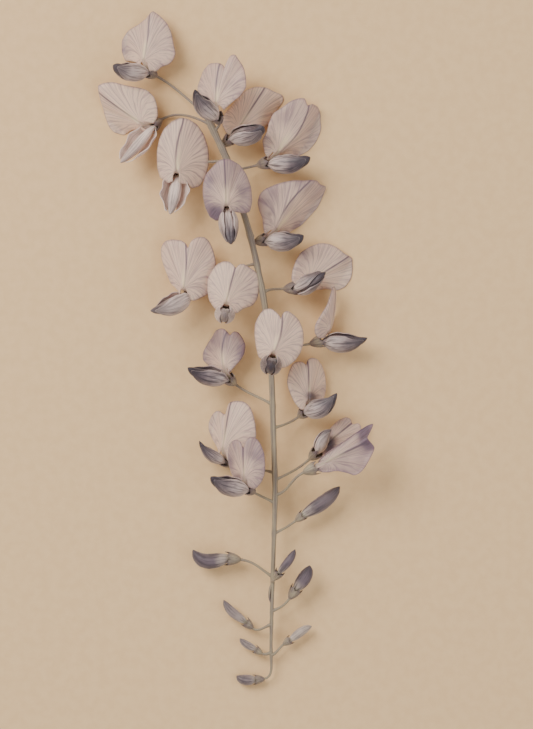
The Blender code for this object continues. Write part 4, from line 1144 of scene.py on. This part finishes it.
def finish_tree(n, geometry, material, output):
    """Turns instances into real faces, gives them their material and sends them out."""
    real = n.add("GeometryNodeRealizeInstances", {"Geometry": geometry}).outputs[0]
    done = n.add("GeometryNodeSetMaterial", {"Geometry": real, "Material": material})
    n.feed(done.outputs[0], output)


def grow(name, source, tree, settings):
    """Runs a tree on an object and returns the result as a plain mesh; the object goes."""
    modifier = source.modifiers.new("grow", "NODES")
    modifier.node_group = tree
    for item in tree.interface.items_tree:
        if item.in_out == "INPUT" and item.name in settings:
            modifier[item.identifier] = settings[item.name]
    bpy.context.view_layer.update()
    evaluated = source.evaluated_get(bpy.context.evaluated_depsgraph_get())
    mesh = bpy.data.meshes.new_from_object(evaluated)
    mesh.name = name
    source.modifiers.remove(modifier)
    bpy.data.objects.remove(source)
    return mesh


def path_object(name, paths):
    """A curve object from lists of (points in millimetres, radii in millimetres)."""
    curve = bpy.data.curves.new(name, "CURVE")
    curve.dimensions = "3D"
    for points, radii in paths:
        line = curve.splines.new("POLY")
        line.points.add(len(points) - 1)
        line.points.foreach_set("co", np.c_[points * MM, np.ones(len(points))].ravel())
        line.points.foreach_set("radius", np.asarray(radii, float) * MM)
    return add_object(name, curve)


# %% Geometry Nodes tree: ribbed stalk
stalk_tree, n, i, o = new_group("ribbed stalk", {
    "Geometry": GEOMETRY, "Sides": ("Int", 20), "Ribs": 5.0, "Rib Depth": 0.08,
    "Mark Every": 0.02, "Material": MATERIAL}, ["Geometry"], "Geometry")
run = n.add("GeometryNodeSplineParameter").outputs["Length"]
marked = store(n, i["Geometry"], "along", n.math("DIVIDE", run, i["Mark Every"]))

circle = n.add("GeometryNodeCurvePrimitiveCircle", {"Resolution": i["Sides"], "Radius": 1.0})
turn = n.add("GeometryNodeSplineParameter").outputs["Factor"]
there_and_back = n.math("PINGPONG", n.times(turn, 2.0), 1.0)
ring = store(n, circle.outputs["Curve"], "around", there_and_back)
wave = n.math("SINE", n.times(n.times(turn, i["Ribs"]), 2 * math.pi))
spot = n.add("GeometryNodeInputPosition").outputs[0]
swollen = n.scale(spot, n.times(wave, i["Rib Depth"], 1.0))
ribbed = n.add("GeometryNodeSetPosition", {"Geometry": ring, "Position": swollen}).outputs[0]

radius = n.add("GeometryNodeInputRadius").outputs[0]
swept = n.add("GeometryNodeCurveToMesh", {
    "Curve": marked, "Profile Curve": ribbed, "Scale": radius, "Fill Caps": True}).outputs[0]
shaded = n.add("GeometryNodeSetShadeSmooth", {"Geometry": swept}).outputs[0]
finish_tree(n, shaded, i["Material"], o["Geometry"])
print("tree:", stalk_tree.name, "with", len(stalk_tree.nodes), "nodes")

# %% Rachis
SPLINE_STEPS = 8
JOINT_SWELL, JOINT_LONG = 0.16, 1.3  # a joint is thicker by this share, over these millimetres
RIB_ROOM = 0.97  # the ribs stand out by as much as this takes away

rachis = spline(RACHIS + np.append(SHIFT, 0), SPLINE_STEPS)
bumps = np.random.default_rng(5).uniform(-0.03, 0.03, len(rachis))
radii = rachis[:, 3] * (1 + bumps)
for part in [*BLOOMS.values(), *BUDS.values()]:
    if part[1] is not None:
        away = rachis[:, 1] - SHIFT[1] - part[1]
        radii *= 1 + JOINT_SWELL * np.exp(-(away / JOINT_LONG) ** 2)
source = path_object("rachis", [(rachis[:, :3], radii * RIB_ROOM)])
rachis_mesh = grow("rachis", source, stalk_tree, {
    "Sides": 24, "Ribs": 5.0, "Rib Depth": 0.07, "Material": stalk_skin})
add_piece("rachis", rachis_mesh, None, "stem")
print("rachis:", len(rachis_mesh.polygons), "faces")
print("it keeps:", [a.name for a in rachis_mesh.attributes])

# %% Stalks of the blooms and buds
STALK_RADIUS, STALK_THIN, STALK_SPRING = 0.58, 0.85, 0.38
CALYX_BACK, STALK_INTO = 4.2, 0.8  # from the mouth back to the calyx's foot, and how far into it
paths = []
for part, size in [(b, 1.0) for b in BLOOMS.values()] + [(b, b[4]) for b in BUDS.values()]:
    mouth, joins, leaves, cup = part[:4]
    if joins is None:
        continue
    cup = heading(*cup)
    level = joins + SHIFT[1]
    root = np.array([np.interp(-level, -rachis[:, 1], rachis[:, k]) for k in range(3)])
    back = placed(mouth) - cup * CALYX_BACK * size
    reach = np.linalg.norm(back - root) * STALK_SPRING
    shares = np.linspace(0, 1, 25)
    spine = (root, root + heading(*leaves) * reach, back - cup * reach, back + cup * STALK_INTO)
    points = bezier(spine, shares)
    away = np.linalg.norm(points - root, axis=1)
    foot = 0.55 * np.exp(-(away / 1.9) ** 2)
    top = 0.25 * np.clip((shares - 0.85) / 0.15, 0, 1)
    thick = STALK_RADIUS * (STALK_THIN + (1 - STALK_THIN) * size)
    paths.append((points, thick * (0.86 + foot + top)))
stalk_mesh = grow("stalks", path_object("stalks", paths), stalk_tree, {
    "Sides": 12, "Ribs": 4.0, "Rib Depth": 0.06, "Material": stalk_skin})
add_piece("stalks", stalk_mesh, None, "stem")
print("stalks:", len(paths), "in", len(stalk_mesh.polygons), "faces")

# %% [markdown]
# ## Bract
# One small scale leaf still clings to the lower rachis, below the last open flowers. It is a
# narrow shell, hollow towards the stem.

# %% Bract
BRACT = ((14.4, -92.5, 6.7), (13.5, -95.0, 6.6), (13.2, -98.5, 6.2), (14.0, -101.5, 5.8))
BRACT_HALF, BRACT_HOLLOW, BRACT_THICK = 0.75, 0.45, 0.3

middle = spline(placed(BRACT), SPLINE_STEPS)
ahead = unit(np.gradient(middle, axis=0))
out = square_to(np.tile([-1.0, 0.0, 0.35], (len(middle), 1)), ahead)
across = np.cross(ahead, out)
share = np.linspace(0, 1, len(middle))
half = BRACT_HALF * np.sin(np.pi * np.clip(share * 0.92 + 0.06, 0, 1)) ** 0.8 + 0.05
cut = np.linspace(-1, 1, 11)
wide = (half[:, None] * cut)[..., None]
hollow = (BRACT_HOLLOW * half[:, None] * (1 - cut ** 2))[..., None]
scale_leaf = middle[:, None] + across[:, None] * wide + out[:, None] * hollow
marks = marks_on(scale_leaf, along=share[:, None], around=cut, seed=9.0)
bract_mesh = new_mesh("bract", *shell(scale_leaf, BRACT_THICK, marks))
add_piece("bract", bract_mesh, calyx_skin, "stem")
print("bract:", len(bract_mesh.polygons), "faces")

# %% [markdown]
# ## Down
# Calyces and thin stalks of wisteria are silky with short hairs. They repeat by the thousand, so
# Geometry Nodes scatters them: points on the faces, a three-sided spike on each, leaning with
# the surface and then tilted by a seeded random turn.

# %% Geometry Nodes tree: down
down_tree, n, i, o = new_group("down", {
    "Geometry": GEOMETRY, "Per Square Metre": 900000.0, "Length": 0.0006, "Thickness": 0.00003,
    "Tilt": 0.5, "Seed": ("Int", 1), "Material": MATERIAL}, ["Geometry"], "Geometry")
points = n.add("GeometryNodeDistributePointsOnFaces", {
    "Mesh": i["Geometry"], "Density": i["Per Square Metre"], "Seed": i["Seed"]}).outputs
spike = n.add("GeometryNodeMeshCone", {
    "Vertices": 3, "Side Segments": 1, "Fill Segments": 1, "Radius Top": 0.0,
    "Radius Bottom": i["Thickness"], "Depth": i["Length"]}).outputs["Mesh"]
tilt = n.add("FunctionNodeRandomValue", {0: (-1.0, -1.0, -1.0), 1: (1.0, 1.0, 1.0)},
             data_type="FLOAT_VECTOR")
n.feed(i["Seed"], tilt.inputs["Seed"])
leaned = n.add("FunctionNodeEulerToRotation", {0: n.scale(tilt.outputs[0], i["Tilt"])}).outputs[0]
turned = n.add("FunctionNodeRotateRotation", {
    "Rotation": points["Rotation"], "Rotate By": leaned}).outputs[0]
hairs = n.add("GeometryNodeInstanceOnPoints", {
    "Points": points["Points"], "Instance": spike, "Rotation": turned}).outputs[0]
finish_tree(n, hairs, i["Material"], o["Geometry"])
print("tree:", down_tree.name, "with", len(down_tree.nodes), "nodes")

# %% Down on calyces and stalks
DOWN = (("calyx_down", calyx_mesh, 1.4e6, 0.00055), ("stalk_down", stalk_mesh, 0.9e6, 0.0004))
for name, skin, density, length in DOWN:
    mesh = grow(name, add_object(name, skin.copy()), down_tree, {
        "Per Square Metre": density, "Length": length, "Thickness": 0.00003, "Tilt": 0.6,
        "Seed": 11, "Material": down_hair})
    spots = np.zeros(len(mesh.vertices) * 3, np.float32)
    mesh.vertices.foreach_get("co", spots)
    spots[2::3] = np.maximum(spots[2::3], TABLE_GAP * MM)
    mesh.vertices.foreach_set("co", spots)
    add_piece(name, mesh, None, "stem")
    print(name, len(mesh.polygons), "faces")

# %% [markdown]
# ## Table, light and finish
# The raceme lies on a plain warm table. One large soft light stands up and to the left, as in a
# botanist's window, a weaker one fills the other side, and a pale sky lifts the shadows.

# %% Table
TABLE_HALF, TABLE_LEVEL = 4, -0.0001

table_top, n, shader = new_material("warm table", roughness=0.9)
weave = n.noise(n.add("ShaderNodeTexCoord").outputs["Object"], 260.0, 4.0)
warm = n.mix(n.step(weave, 0.3, 0.7), srgb(234, 196, 146), srgb(229, 190, 140))
n.feed(warm, shader.inputs["Base Color"])
mesh = bpy.data.meshes.new("table")
corners = [(x * TABLE_HALF, y * TABLE_HALF, TABLE_LEVEL)
           for x, y in ((-1, -1), (1, -1), (1, 1), (-1, 1))]
mesh.from_pydata(corners, [], [(0, 1, 2, 3)])
mesh.materials.append(table_top)
add_object("table", mesh)
print("table:", 2 * TABLE_HALF, "m wide")

# %% Lights
def area_light(name, place, size, power, colour):
    """A soft square light that looks at the raceme."""
    data = bpy.data.lights.new(name, "AREA")
    data.size, data.energy, data.color = size, power, colour
    lamp = add_object(name, data)
    lamp.location = place
    aim = -unit(place)
    lamp.rotation_euler = (math.acos(-aim[2]), 0.0, math.atan2(aim[1], aim[0]) - math.pi / 2)


area_light("window", (-0.75, 0.65, 0.95), 0.8, 20.0, (1.0, 0.97, 0.93))
area_light("fill", (0.9, -0.5, 0.9), 1.2, 6.0, (0.93, 0.95, 1.0))
sky = bpy.data.worlds.new("sky")
sky.use_nodes = True
background = sky.node_tree.nodes["Background"]
background.inputs["Color"].default_value = (1.0, 0.98, 0.95, 1.0)
background.inputs["Strength"].default_value = 0.6
bpy.context.scene.world = sky
